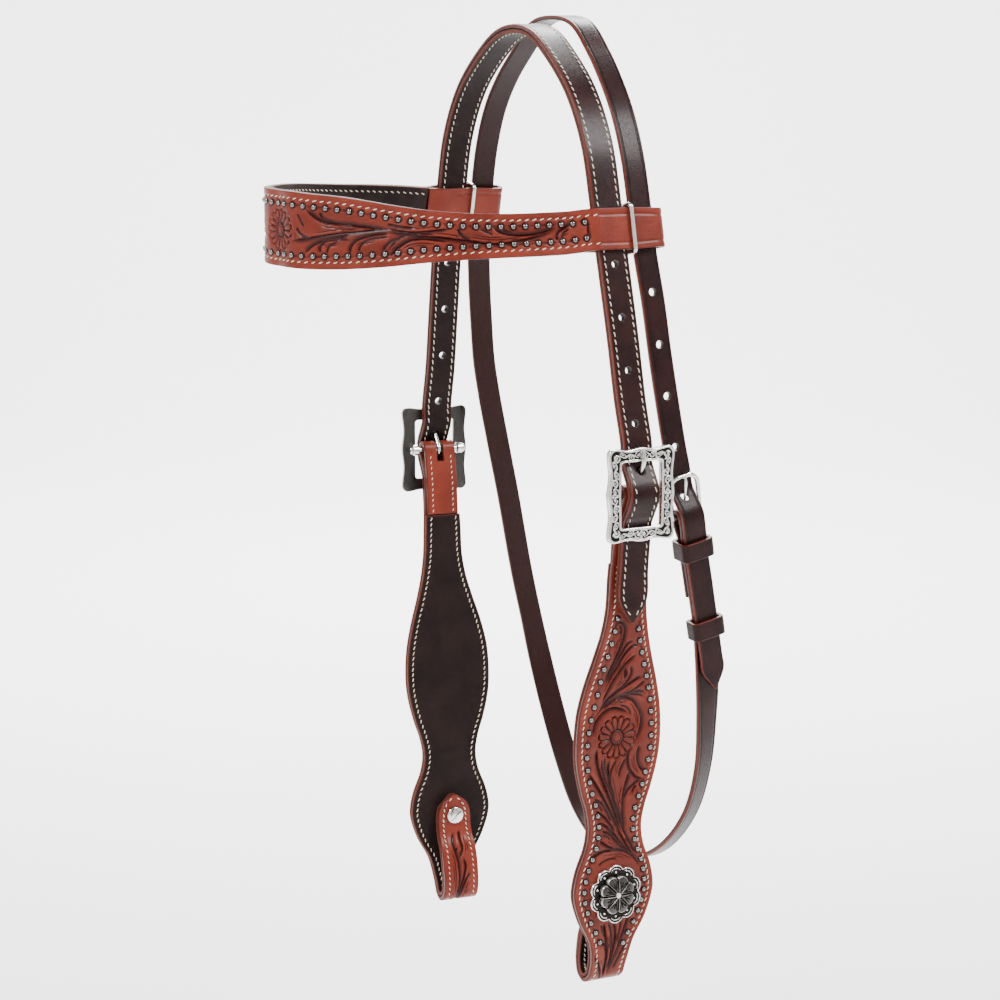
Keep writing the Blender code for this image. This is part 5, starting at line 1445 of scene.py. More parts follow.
@dataclass
class Browband:
    """The shaped browband, its lining and its two wire clips."""
    crown: Route
    throat: Route
    drop: float = 0.094
    reach: float = 0.1374
    half: float = 0.0185
    end_half: float = 0.0102
    rear_half: float = 0.0096
    front: float = 0.0145
    plan_spread: tuple = (0.0, 0.12, 0.229, 0.43, 0.609, 0.7555, 0.862, 0.9275, 0.969, 0.992)
    heights: tuple = (1.0, 0.998, 0.985, 0.93, 0.81, 0.68, 0.60, 0.565, 0.56, 0.555)
    leans: tuple = (0.0, 0.0, 0.02, 0.08, 0.16, 0.28, 0.42, 0.6, 0.8, 0.92)
    wire: float = 0.0011
    stitch_inset: float = 0.0033
    spot_inset: float = 0.0063
    pitch: float = 0.0039
    spot_pitch: float = 0.00615
    tooled: float = 0.1605

    def __post_init__(self) -> None:
        """Lay out the route from the right flap to the left flap."""
        self.plans = {
            Hand.LEFT: ((1.0, 0.995, 0.967, 0.873, 0.770, 0.6565, 0.527, 0.387, 0.245, 0.16),
                        (0.993, 0.995, 1.0, 1.006, 1.013, 1.015, 1.016, 1.015, 1.011, 1.006)),
            Hand.RIGHT: ((1.0, 1.008, 0.992, 0.885, 0.775, 0.6565, 0.527, 0.387, 0.245, 0.16),
                         (0.993, 0.989, 0.982, 0.97, 0.953, 0.939, 0.934, 0.936, 0.946, 0.955))}
        self.eyes = {side.hand: Eye(side, self.crown, self.throat) for side in SIDES}
        right, left = (self.front_knots(hand) for hand in (Hand.RIGHT, Hand.LEFT))
        knots = (self.eye_knots(self.eyes[Hand.RIGHT]) + right[:0:-1] + left
                 + self.eye_knots(self.eyes[Hand.LEFT])[::-1])
        self.route = Route(spline(knots, LAYOUT_CUTS))
        foremost = int(np.argmin(np.abs(self.route.place[:, 0])
                                 + 1000 * (self.route.place[:, 1] > -0.1)))
        self.middle = float(self.route.length[foremost])

    def front_knots(self, hand: Hand) -> list[Array]:
        """Return the knots of one half of the band, from its middle to its eye."""
        eye, (reaches, sinks) = self.eyes[hand], self.plans[hand]
        knots = []
        for spread, reach, height, sink, lean in zip(self.plan_spread, reaches, self.heights,
                                                     sinks, self.leans):
            place = np.array((eye.centre[0] * spread, -self.reach * reach, -self.drop * sink))
            knots.append(knot(place, UP + (eye.up_way - UP) * lean, self.half * height))
        return knots

    def eye_knots(self, eye: Eye) -> list[Array]:
        """Return one end's knots: flap end, rear fold and outer side to the tooling."""
        tall, front_out = self.end_half, eye.layer_out * 0.25
        flap, ahead = front_out - STOCK.browband - STOCK.gap, STOCK.crown_width / 2 + STOCK.gap
        rows = [(flap, -self.front), (flap - STOCK.gap, -self.front * 0.87),
                (-eye.layer_out, -ahead), (-eye.layer_out, 0), (-eye.layer_out, eye.rear / 2)]
        knots = [knot(eye.at(*row), eye.up_way, tall) for row in rows]
        for step in range(7):
            angle = math.pi / 2 - math.pi * step / 6
            knots.append(knot(eye.at(-eye.layer_out * math.sin(angle),
                                     eye.rear + eye.layer_out * math.cos(angle)),
                              eye.up_way, self.rear_half))
        rows = [(eye.layer_out, eye.rear / 2), (eye.layer_out, 0), (eye.layer_out, -ahead),
                (front_out, -self.front)]
        return knots + [knot(eye.at(*row), eye.up_way, tall) for row in rows]

    def lined(self) -> tuple[float, float]:
        """Return the stretch of the route that carries the lining."""
        limit = -self.front - 2 * STOCK.loose
        eyes = (self.eyes[Hand.RIGHT], self.eyes[Hand.LEFT])
        centre = np.where(self.route.place[:, 0] > 0, eyes[1].centre[1], eyes[0].centre[1])
        outer = np.nonzero(self.route.place[:, 1] - centre < limit)[0]
        return float(self.route.length[outer[0]]), float(self.route.length[outer[-1]])

    def spot_places(self) -> list[tuple[float, float]]:
        """Return (u, s) in millimetres of every spot, s counted from the middle."""
        count = int(self.tooled / self.spot_pitch)
        levels = np.arange(-count, count + 1) * self.spot_pitch
        across = (self.route.at(self.middle + levels)[3] - self.spot_inset) / MM
        return [(sign * u, level / MM) for sign in (-1, 1) for u, level in zip(across, levels)]

    def build(self, looks: Finishes) -> None:
        """Make the leather, its stitching, its spots and its clips."""
        spots, middle, route = self.spot_places(), self.middle, self.route
        seated = {(u, abs(level)) for u, level in spots}
        tooling = Tooling(tuple(Cut(*row) for row in BROW_CUTS), Blossom((-0.6, 1.8), 9.8),
                          middle, 1, tuple(seated), self.stitch_inset / MM, ((-1, 236),),
                          mirrored=True)
        spans = paced(route.end, ((middle - 163 * MM, middle + 163 * MM, 0.52 * MM),),
                      1.3 * MM, 4)
        face = Strip("browband_tooled", route, 0, STOCK.browband, spans, 88, cuts=3,
                     relief=tooling).build()
        dress(face, looks.tooled, "headpiece", Slot.TOOLED, "browband_face")
        low, high = self.lined()
        inset = -(STOCK.browband + STOCK.browband_lining) / 2 - STOCK.gap
        lining = Strip("browband_backing", route, inset, STOCK.browband_lining,
                       paced(high - low, (), 1.5 * MM, 1), 28, start=low, faced=True).build()
        dress(lining, looks.lining, "headpiece", Slot.LINING, "browband_lining")
        under = inset - STOCK.browband_lining / 2
        top = STOCK.browband / 2 - 0.2 * MM
        s = np.arange(low - 12 * MM, high + 12 * MM, self.pitch)
        inner = s[(s > low + 2 * MM) & (s < high - 2 * MM)]
        tables = both_edges(route, s, self.stitch_inset, top, 0.33)
        tables += both_edges(route, inner, self.stitch_inset, under, 0.36, -1)
        dress(scattered("browband_stitching", stitch(0.92), tables), looks.thread, "headpiece", None)
        across, level = (np.array(column) * MM for column in zip(*spots))
        tables = spotted(route, middle + level, across, STOCK.browband / 2 - 0.3 * MM)
        dress(scattered("browband_spots", spot(), tables), looks.nickel, "headpiece", Slot.STEEL)
        for eye in self.eyes.values():
            self.make_clip(eye, looks)

    def make_clip(self, eye: Eye, looks: Finishes) -> None:
        """Make the wire clip that closes an eye between its two straps."""
        rise = self.end_half + STOCK.gap + self.wire
        reach = eye.layer_out + STOCK.browband / 2 + STOCK.gap + self.wire
        back = (STOCK.crown_width / 2 + eye.rear - STOCK.throat_width - STOCK.gap) / 2
        table = axes_matrix(eye.at(0, back), BACK, eye.out_way)
        points, ways = rounded(2 * reach, 2 * rise, 1.6 * MM, 8, (8, 12))
        turn = np.linspace(0, 2 * math.pi, 16, endpoint=False)
        section = np.stack((np.cos(turn), np.sin(turn)), -1) * self.wire
        clip = ring(f"{eye.side.word}_browband_wire", placed(table, flat_to_space(points)),
                    flat_to_space(ways) @ table[:, :3].T, table[:, 2], section)
        dress(clip, looks.steel, "headpiece", Slot.STEEL, f"{eye.side.word}_browband_clip")


def flat_to_space(points: Array) -> Array:
    """Return flat points with a third number of nothing."""
    return np.concatenate((points, np.zeros((len(points), 1))), 1)


def rounded(width: float, height: float, corner: float, corner_cuts: int,
            side_cuts: tuple[int, int]) -> tuple[Array, Array]:
    """Return the points and outward ways of a rectangle with round corners.

    Args:
        width: size along X.
        height: size along Y.
        corner: radius of the corners.
        corner_cuts: spans round each corner.
        side_cuts: spans along each side that lies along X, and along Y.
    """
    points, ways = [], []
    signs = ((1, 1), (-1, 1), (-1, -1), (1, -1))
    centres = [np.array((sx * (width / 2 - corner), sy * (height / 2 - corner)))
               for sx, sy in signs]
    for quarter, centre in enumerate(centres):
        for step in range(corner_cuts + 1):
            angle = math.pi / 2 * (quarter + step / corner_cuts)
            ways.append(np.array((math.cos(angle), math.sin(angle))))
            points.append(centre + corner * ways[-1])
        start, way = points[-1], ways[-1]
        end = centres[(quarter + 1) % 4] + corner * way
        spans = side_cuts[quarter % 2]
        for step in range(1, spans):
            points.append(start + (end - start) * step / spans)
            ways.append(way)
    return np.array(points), np.array(ways)


# Buckles, conchos and screws

@dataclass
class CartBuckle:
    """One engraved cart buckle: frame with lugs, bar and tongue."""
    side: Side
    corner: float = 0.003
    window_corner: float = 0.0015
    rim: float = 0.0013
    sunk: float = 0.0007
    lug_radius: float = 0.003
    head_radius: float = 0.0023
    head: float = 0.0012

    def outlines(self) -> tuple[Array, Array]:
        """Return matching points of the frame's wavy edge and of its window."""
        size = BUCKLE
        edge, ways = rounded(size.width, size.height, self.corner, 10, (120, 150))
        window, _ = rounded(size.window_width, size.window_height, self.window_corner, 10,
                            (120, 150))
        for axis, reach in ((0, size.height), (1, size.width)):
            span = reach / 2 - self.corner
            flat = np.abs(ways[:, axis]) > 0.999
            share = edge[flat, 1 - axis] / span
            dip = size.wave * (1 - np.cos(2 * math.pi * share)) / 2
            edge[flat] -= ways[flat] * dip[:, None]
        return edge, window

    def engraving(self, along: Array, across: Array, middle: Array) -> Array:
        """Return how high the ornament stands in the sunk field, from 0 to 1.

        Args:
            along: millimetres along the frame's bar from its middle.
            across: millimetres from the bar's own centre line.
            middle: 1 on the side bars and 0 on the top and bottom bars; not used.
        """
        wave = 1.0 * np.sin(2 * math.pi * along / 8.4)
        stem = 1.25 - np.abs(across - wave) / 0.45
        cell = np.round(along / 4.2 - 0.5) + 0.5
        turn = np.where(cell % 2 > 1, 1.0, -1.0)
        dx, dy = along - cell * 4.2, across - 0.6 * turn
        r = np.hypot(dx, dy)
        curl = 1.25 - np.abs(r - 1.4 + 0.3 * np.arctan2(dy, dx) / math.pi) / 0.38
        berry = 1.4 - r / 0.48
        diamond = np.abs(along) / 3.1 + np.abs(across) / 2.3
        plate = (1.0 - diamond) / 0.16
        eyelet = np.clip(1.6 - np.hypot(along, across) / 0.42, 0, 1)
        petals = np.abs(np.sin(2 * np.arctan2(across, along))) ** 4 * (diamond > 0.3)
        scroll = np.clip(np.maximum(np.maximum(stem, curl), berry) * 2, 0, 1)
        star = np.clip(plate, 0, 1) * (1 - 0.9 * eyelet) * (1 - 0.7 * petals)
        return np.where(diamond < 1.14, star, scroll)

    def build(self, looks: Finishes) -> None:
        """Make the frame with its lugs, the bar and the tongue."""
        side, word = self.side, self.side.word
        across = side.back_way * side.sign
        table = np.column_stack((across, UP, side.out_way, side.centre))
        edge, window = self.outlines()
        ways = unit(edge - window)
        width = np.linalg.norm(edge - window, axis=1)
        frame = ring(f"{word}_engraved_frame", placed(table, flat_to_space(window)),
                     flat_to_space(ways) @ table[:, :3].T, side.out_way,
                     *self.section(edge, window, width))
        frame = self.with_lugs(frame)
        dress(frame, looks.silver, "headpiece", Slot.SILVER, f"{word}_buckle_frame")
        half = (BUCKLE.window_width / 2 + BUCKLE.lug_length) + STOCK.gap
        low, high = self.head_radius * 0.8, self.head_radius
        profile = ((low, -half - self.head), (high, -half - self.head / 2), (high, -half),
                   (BUCKLE.bar_radius, -half), (BUCKLE.bar_radius, half), (high, half),
                   (high, half + self.head / 2), (low, half + self.head))
        bar = turned(f"{word}_bar_pin", profile, 32)
        put(bar, placed(axes_matrix(side.bar, side.back_way, UP), corners(bar)))
        dress(bar, looks.steel, "headpiece", Slot.STEEL, f"{word}_buckle_bar")
        line = eased([side.at(out, rise) for out, rise in cart_tongue_line()], 4)
        run = np.linspace(0, 1, len(line))
        radii = BUCKLE.tongue_radius * np.interp(run, (0, 0.7, 0.78, 0.95, 1), (1, 1, 1.25, 1.2, 0.7))
        tongue = rod(f"{word}_tongue_wire", line, radii, 4)
        dress(tongue, looks.steel, f"{word}_tongue", Slot.STEEL, f"{word}_buckle_tongue")

    def section(self, edge: Array, window: Array, width: Array) -> tuple[Array, Array]:
        """Return the frame's section round its path, and how dark each of its points is."""
        share = np.linspace(0, 1, 44)
        depth, mm = BUCKLE.depth / 2, 1 / MM
        a = width[:, None] * share
        b = width[:, None] - a
        low, high = np.clip((a - self.rim) / 0.0004, 0, 1), np.clip((b - self.rim) / 0.0004, 0, 1)
        field_share = low * high
        centre = (edge + window) / 2
        upright = np.abs(centre[:, 0]) / (BUCKLE.width / 2) > np.abs(centre[:, 1]) / (BUCKLE.height / 2)
        along = np.where(upright, centre[:, 1], centre[:, 0])[:, None] * mm
        raised = self.engraving(along, (a - width[:, None] / 2) * mm, upright[:, None])
        front = -self.sunk * field_share * (1 - 0.8 * raised)
        for gap in (a, b):
            front = front - 0.0004 * (1 - np.sqrt(1 - (1 - np.clip(gap / 0.0005, 0, 1)) ** 2))
            front = front - 0.00012 * np.exp(-((gap - 0.0002) / 0.0003) ** 2)
        top = np.stack((a, depth + front), -1)
        dark = np.clip(field_share * np.maximum(1 - raised, 0.25), 0, 1)
        back = np.stack((width[:, None] * np.array((1.0, 0.97, 0.6, 0.3, 0.03, 0.0)),
                         np.broadcast_to(-depth * np.array((0.8, 1, 1, 1, 1, 0.8)),
                                         (len(width), 6))), -1)
        section = np.concatenate((top, back), 1)
        stains = np.concatenate((dark, np.full((len(width), 6), 0.7)), 1)
        return section, stains

    def with_lugs(self, frame: bpy.types.Object) -> bpy.types.Object:
        """Join the two round lugs that hold the bar to the frame."""
        place = BUCKLE.window_width / 2 + BUCKLE.lug_length / 2
        half, r = BUCKLE.lug_length / 2, self.lug_radius
        parts = [frame]
        for end in (-1, 1):
            lug = turned("lug", ((r * 0.86, -half), (r, -half * 0.8), (r, half * 0.8),
                                 (r * 0.86, half)), 32)
            centre = self.side.bar + self.side.back_way * place * end
            put(lug, placed(axes_matrix(centre, self.side.back_way, UP), corners(lug)))
            parts.append(lug)
        with joined(parts) as whole:
            return whole


@dataclass
class Concho:
    """A scalloped concho with a raised blossom, and the slotted screw behind it."""
    side: Side
    radius: float = 0.0151
    height: float = 0.0046
    rim: float = 0.0011
    blossom: float = 0.0097
    scallops: int = 10
    lobe_radius: float = 0.0045
    petals: int = 8
    post: float = 0.0027
    head: float = 0.0047
    head_height: float = 0.0018
    shank: float = 0.0015
    slot_width: float = 0.0012
    slot_depth: float = 0.0008

    def edge(self, angle: Array) -> tuple[Array, Array]:
        """Return how far out the scalloped edge lies, and the angle from the lobe's middle."""
        step = 2 * math.pi / self.scallops
        off = (angle / step % 1.0 - 0.5) * step
        middle = self.radius - self.lobe_radius
        reach = np.sqrt(self.lobe_radius ** 2 - (middle * np.sin(off)) ** 2)
        return middle * np.cos(off) + reach, off

    def relief(self, r: Array, angle: Array) -> tuple[Array, Array]:
        """Return the height and darkness of the front at places on it, both in shares."""
        edge, off = self.edge(angle)
        r, inner, seat = r / MM, (edge - r) / MM, self.blossom / MM
        bead = np.hypot(r * np.cos(off) - 11.3, r * np.sin(off))
        arch_line = np.clip(1.5 - np.abs(inner - 1.85) / 0.26, 0, 1)
        arch_line = arch_line * (np.abs(r * np.sin(off)) < 2.6)
        bright = np.clip((0.75 - inner) / 0.15, 0, 1)
        bright = np.maximum(bright, arch_line)
        bright = np.maximum(bright, np.clip((0.65 - bead) / 0.2, 0, 1))
        skirt = 0.20 + 0.15 * bright - 0.12 * np.clip(1 - inner / 0.35, 0, 1) ** 2
        step = 2 * math.pi / self.petals
        turn = (angle / step % 1.0 - 0.5) * step
        sweep = turn * r
        gap = (step / 2 - np.abs(turn)) * r
        swell = np.cos(turn / step * math.pi) ** 0.6
        tip = seat * (0.84 + 0.20 * swell)
        dome = 0.44 + 0.52 * np.sqrt(np.clip(1 - (r / (seat * 1.06)) ** 2, 0, 1))
        seam = np.clip(1.3 - gap / 0.5, 0, 1) * (r > 1.6)
        border = np.minimum(gap, tip - r)
        vein = np.clip(1.4 - np.abs(sweep) / 0.3, 0, 1) * (r > 2.6) * (r < 7.2)
        fork = np.abs(np.abs(sweep) - 0.5 * (r - 3.6))
        fork = np.clip(1.4 - fork / 0.26, 0, 1) * (r > 3.8) * (r < 7.6) * (border > 0.9)
        star = np.clip(1.4 - np.abs(r - 1.6) / 0.22, 0, 1)
        cut = np.maximum(np.maximum(seam, 0.8 * star), np.maximum(0.8 * vein, 0.8 * fork))
        inside = np.clip((tip - r) / 0.3, 0, 1)
        puff = 0.10 * swell * np.clip(r / seat * 1.6 - 0.3, 0, 1)
        height = np.where(r < tip, (dome + puff) * inside ** 0.4 - 0.15 * cut, skirt)
        height = np.where((r >= tip) & (r < tip + 0.8), 0.14, np.maximum(height, 0.1))
        edge_line = np.clip((border - 0.3) / 0.4, 0, 1)
        dark = np.where(r < tip, np.maximum(cut * 1.3, 0.3 + 0.40 * edge_line),
                        np.maximum(1 - bright, 0.2))
        dark = np.where((r >= tip) & (r < tip + 0.8), 1.0, dark)
        return height, np.clip(dark, 0, 1)

    def build(self, looks: Finishes) -> None:
        """Make the concho and its screw."""
        side, word = self.side, self.side.word
        front = -CHEEK.line_in + STOCK.cheek / 2
        behind = -CHEEK.line_in - CHEEK.return_step - STOCK.cheek / 2
        long = front + STOCK.gap - behind
        across = side.back_way * side.sign
        seat = self.blossom / self.radius
        rings = [(self.post * 0.8, -long), (self.post, -long + 0.0003), (self.post, 0.0),
                 (self.radius - 0.0006, 0.0)]
        steps = np.concatenate((np.linspace(1.0, seat, 36), np.linspace(seat - 0.01, 0.03, 40)))
        rings += [(self.radius * share, self.rim) for share in steps]
        piece = turned(f"{word}_concho_blossom", rings, 240)
        flat = corners(piece)
        r, angle = np.hypot(flat[:, 0], flat[:, 1]), np.arctan2(flat[:, 1], flat[:, 0])
        faced = flat[:, 2] > self.rim / 2
        edge, _ = self.edge(angle)
        squeeze = (edge - self.blossom) / (self.radius - self.blossom)
        trimmed = np.where(r > self.blossom, self.blossom + (r - self.blossom) * squeeze, r)
        height, dark = self.relief(trimmed, angle)
        places = flat.copy()
        places[:, :2] *= (trimmed / r)[:, None]
        places[faced, 2] = self.height * height[faced]
        seat = side.hang(front + STOCK.gap, CHEEK.screw_drop)
        put(piece, placed(axes_matrix(seat, side.out_way, across), places))
        note(piece, "tool", np.stack((np.where(faced, dark, 0.2), 0 * dark, 0 * dark), -1))
        close_up(piece)
        dress(piece, looks.silver, f"{word}_cheek", Slot.SILVER, f"{word}_concho")
        self.make_screw(looks, behind, long - 2 * STOCK.gap - 0.001)

    def make_screw(self, looks: Finishes, behind: float, shank: float) -> None:
        """Make the domed, slotted screw on the cheek's inner side."""
        side, word, r, h = self.side, self.side.word, self.head, self.head_height
        rings = [(r * math.sin(turn), -h * (0.35 + 0.65 * math.cos(turn)))
                 for turn in np.linspace(0.08, math.pi / 2, 9)]
        rings += [(r, -0.0002), (r * 0.95, 0.0), (self.shank, 0.0), (self.shank, shank)]
        screw = turned(f"{word}_slotted_screw", rings, 48)
        seat = side.hang(behind - STOCK.gap, CHEEK.screw_drop)
        across = side.back_way * side.sign
        put(screw, placed(axes_matrix(seat, side.out_way, across), corners(screw)))
        bpy.ops.object.select_all(action="DESELECT")
        bpy.ops.mesh.primitive_cube_add(size=1)
        cutter = bpy.context.object
        size = np.array((2 * r + 0.002, self.slot_width, 2 * self.slot_depth))
        table = axes_matrix(seat - side.out_way * h, side.out_way, side.back_way + UP)
        put(cutter, placed(table, corners(cutter) * size))
        apply_boolean(screw, cutter)
        close_up(screw)
        dress(screw, looks.steel, f"{word}_screw", Slot.STEEL, f"{word}_concho_screw")


# Throatlatch

@dataclass
class Throatlatch:
    """The throatlatch: one strap with its buckle, tongue and two keepers."""
    spread: float = 0.092
    reach: float = 0.0615
    drop: float = 0.4412
    rise: float = 0.0077
    spreads: tuple = (0.0, 0.22, 0.405, 0.565, 0.70, 0.80, 0.867, 0.916, 0.963, 0.989, 0.997, 1.0)
    reaches: tuple = (0.317, 0.317, 0.31, 0.29, 0.28, 0.28, 0.285, 0.296, 0.335, 0.378, 0.41,
                      0.465)
    drops: tuple = (0.0, 0.007, 0.037, 0.069, 0.106, 0.152, 0.205, 0.2555, 0.312, 0.369, 0.415,
                    0.459)
    side_spreads: tuple = (1.005, 1.005, 0.999, 0.97, 0.925, 0.838, 0.695, 0.484, 0.24, 0.0)
    side_reaches: tuple = (0.56, 0.665, 0.79, 0.876, 0.919, 0.974, 1.0, 0.984, 0.968, 0.96)
    side_drops: tuple = (0.52, 0.588, 0.680, 0.745, 0.790, 0.853, 0.913, 0.962, 0.991, 1.0)
    side_turns: tuple = (0.0, 0.0, 0.0, 0.0, 0.45, 0.9, 1.0, 0.8, 0.35, 0.0)
    turn: float = math.radians(24)
    holes: int = 4
    bar_place: tuple = (0.0929, 0.0381, -0.235)
    slope: float = math.radians(12)
    lean: float = math.radians(8.5)
    frame_width: float = 0.0185
    frame_length: float = 0.0205
    frame_stock: float = 0.0022
    frame_corner: float = 0.0065
    frame_depth: float = 0.0023
    bar_radius: float = 0.0014
    tongue_radius: float = 0.0008
    turnback: float = 0.042
    turnback_shares: tuple = (1.0, 0.7, 0.42, 0.3)
    billet: float = 0.092
    point: float = 0.010
    tip_width: float = 0.001
    main_rises: tuple = (-0.08, -0.3, -0.62, -1.0)
    main_outs: tuple = (1.0, 0.35, 0.0, -0.5)
    keeper_wall: float = 0.002
    keeper_height: float = 0.0095
    upper_keeper: float = 0.017
    lower_keeper: float = 0.059
    slot_width: float = 0.003
    slot_drop: float = 0.004
    crease_inset: float = 0.0017

    def __post_init__(self) -> None:
        """Work out the buckle's axes and lay out the strap."""
        self.bar = np.array(self.bar_place)
        self.up_way = np.array((0, -math.sin(self.slope), math.cos(self.slope)))
        self.back_way = np.array((0, math.cos(self.slope), math.sin(self.slope)))
        self.out_way = np.array((1.0, 0, 0))
        self.layer_step = STOCK.throat + STOCK.layer_gap
        self.chape = self.bar_radius + STOCK.fold + STOCK.throat / 2
        self.crest = self.chape + STOCK.throat + 2 * STOCK.gap
        self.frame_end = self.frame_length * math.sin(self.lean)
        self.route = Route(spline(self.knots(), LAYOUT_CUTS))

    def at(self, out: float, rise: float) -> Array:
        """Return the place at a distance out and a rise along the strap."""
        return self.bar + self.out_way * out + self.up_way * rise

    def main_out(self, rise: float) -> float:
        """Return how far out the chape's outer layer lies at a rise below the heel bar."""
        rises = [-self.billet, *(self.lower_keeper * r for r in self.main_rises[::-1])]
        outs = [self.chape * -1.25, *(self.chape * o for o in self.main_outs[::-1])]
        return float(np.interp(rise, rises, outs))

    def free_knot(self, spread: float, reach: float, drop: float, turn: float,
                  sign: int) -> Array:
        """Return a knot on the free run round the head."""
        place = np.array((sign * self.spread * spread, self.reach * reach,
                          self.rise - self.drop * drop))
        angle = self.turn * turn
        across = np.array((-sign * math.sin(angle), math.cos(angle), 0))
        return knot(place, across, STOCK.throat_width / 2)

    def knots(self) -> list[Array]:
        """Return the knots from the turned-back end round the head to the billet's tip."""
        half, across = STOCK.throat_width / 2, self.back_way
        upper = list(zip(self.spreads, self.reaches, self.drops, (0.0,) * len(self.spreads)))
        lower = list(zip(self.side_spreads, self.side_reaches, self.side_drops, self.side_turns))
        main = [(self.chape * out, self.lower_keeper * rise)
                for out, rise in zip(self.main_outs, self.main_rises)]
        rows = [(self.main_out(-self.turnback * share) - self.layer_step, -self.turnback * share)
                for share in self.turnback_shares]
        rows.append((-self.chape * 0.9, -self.turnback * 0.12))
        for step in range(7):
            angle = math.pi * (1 - step / 6)
            rows.append((self.chape * math.cos(angle), self.chape * math.sin(angle)))
        knots = [knot(self.at(*row), across, half) for row in rows + main]
        knots += [self.free_knot(*row, 1) for row in lower[3:]]
        knots += [self.free_knot(*row, -1) for row in lower[-2::-1] + upper[::-1]]
        knots += [self.free_knot(*row, 1) for row in upper[1:-2]]
        under = self.frame_end - self.frame_depth / 2 - 2 * STOCK.gap - STOCK.throat / 2
        rows = [(under - STOCK.gap, self.frame_length * 1.7), (under, self.frame_length * 1.1)]
        rows += climb(0, self.crest, under - STOCK.throat / 3) + [(self.crest, 0)]
        rows += [(out + self.layer_step, rise) for out, rise in main]
        knots += [knot(self.at(*row), across, half) for row in rows]
        for short, width in ((self.point * 1.7, half), (self.point, half),
                             (self.point / 2, half * 0.6), (0, self.tip_width / 2)):
            rise = short - self.billet
            knots.append(knot(self.at(self.main_out(rise) + self.layer_step, rise), across,
                              width))
        return knots

    def tongue(self) -> list[tuple[float, float]]:
        """Return the tongue's (out, rise) points."""
        return tongue_line(0, self.bar_radius + STOCK.gap + self.tongue_radius,
                           self.tongue_radius, self.frame_end + self.frame_depth / 2,
                           self.frame_length - self.frame_stock,
                           self.frame_length + self.frame_stock / 4)

    def creases(self, s: Array, u: Array, half: Array) -> tuple[Array, Array]:
        """Return the height and stain of the crease along each edge."""
        line = np.exp(-(((half - np.abs(u)) - self.crease_inset) / 0.00028) ** 2)
        return -0.00022 * line, 0.6 * line

    def build(self, looks: Finishes) -> None:
        """Make the strap, its buckle, its tongue and its keepers."""
        route = self.route
        strap = Strip("throatlatch_leather", route, 0, STOCK.throat,
                      paced(route.end, (), 1.3 * MM, 2), 44, cuts=1, relief=self.creases).build()
        foot, head = (self.at(out, rise) for out, rise in self.tongue()[-4:-2])
        middle = (foot + head) / 2
        spots = [(middle, head - foot, STOCK.tongue_hole)]
        for count in range(1, self.holes + 1):
            place, _, normal, _ = route.at(route.at_height(middle[2] + count * STOCK.hole_pitch,
                                                           Hand.LEFT))
            spots.append((place, normal, STOCK.hole))
        punch(strap, spots, 3 * STOCK.throat)
        self.cut_slot(strap)
        close_up(strap)
        dress(strap, looks.dark, "headpiece", Slot.DARK, "throatlatch_strap")
        self.make_frame(looks)
        line = eased([self.at(out, rise) for out, rise in self.tongue()], 4)
        radii = self.tongue_radius * np.interp(np.linspace(0, 1, len(line)), (0, 0.9, 1),
                                               (1, 0.95, 0.6))
        tongue = rod("throatlatch_tongue_wire", line, radii, 4)
        dress(tongue, looks.steel, "throatlatch_tongue", Slot.STEEL, "throatlatch_buckle_tongue")
        self.make_keeper("upper", self.upper_keeper, 3, 0.0, "headpiece", looks)
        self.make_keeper("lower", self.lower_keeper, 2, self.layer_step / 2, "lower_keeper",
                         looks)

    def cut_slot(self, strap: bpy.types.Object) -> None:
        """Cut the slot in the fold for the tongue."""
        reach = self.chape + STOCK.throat / 2 + STOCK.gap / 2
        bpy.ops.object.select_all(action="DESELECT")
        bpy.ops.mesh.primitive_cube_add(size=1)
        cutter = bpy.context.object
        size = np.array((self.slot_width, 2 * reach, reach + self.slot_drop))
        centre = self.bar + self.up_way * (self.chape + STOCK.throat - self.slot_drop) / 2
        table = axes_matrix(centre, self.up_way, self.back_way)
        put(cutter, placed(table, corners(cutter) * size))
        apply_boolean(strap, cutter)

    def make_frame(self, looks: Finishes) -> None:
        """Make the small round-topped frame."""
        half, stock, bar = self.frame_width / 2, self.frame_stock, self.bar_radius
        edge = arch(half, self.frame_length + stock / 2, -bar, self.frame_corner)
        window = arch(half - stock, self.frame_length - stock / 2, bar, self.frame_corner - stock)
        up = self.up_way * math.cos(self.lean) + self.out_way * math.sin(self.lean)
        table = np.column_stack((self.back_way, up, np.cross(self.back_way, up), self.bar))
        centre, width = (edge + window) / 2, np.linalg.norm(edge - window, axis=1)
        turn = np.linspace(0, 2 * math.pi, 20, endpoint=False)
        low = np.clip(1 - np.abs(centre[:, 1]) / 0.002, 0, 1)
        depth = self.frame_depth + (2 * bar - self.frame_depth) * low
        square = np.stack((np.cos(turn), np.sin(turn)), -1)
        square = np.sign(square) * np.abs(square) ** 0.8
        section = square * np.stack((width, depth), -1)[:, None] / 2
        frame = ring("throatlatch_steel_frame", placed(table, flat_to_space(centre)),
                     flat_to_space(unit(edge - window)) @ table[:, :3].T, table[:, 2], section)
        dress(frame, looks.steel, "headpiece", Slot.STEEL, "throatlatch_buckle_frame")

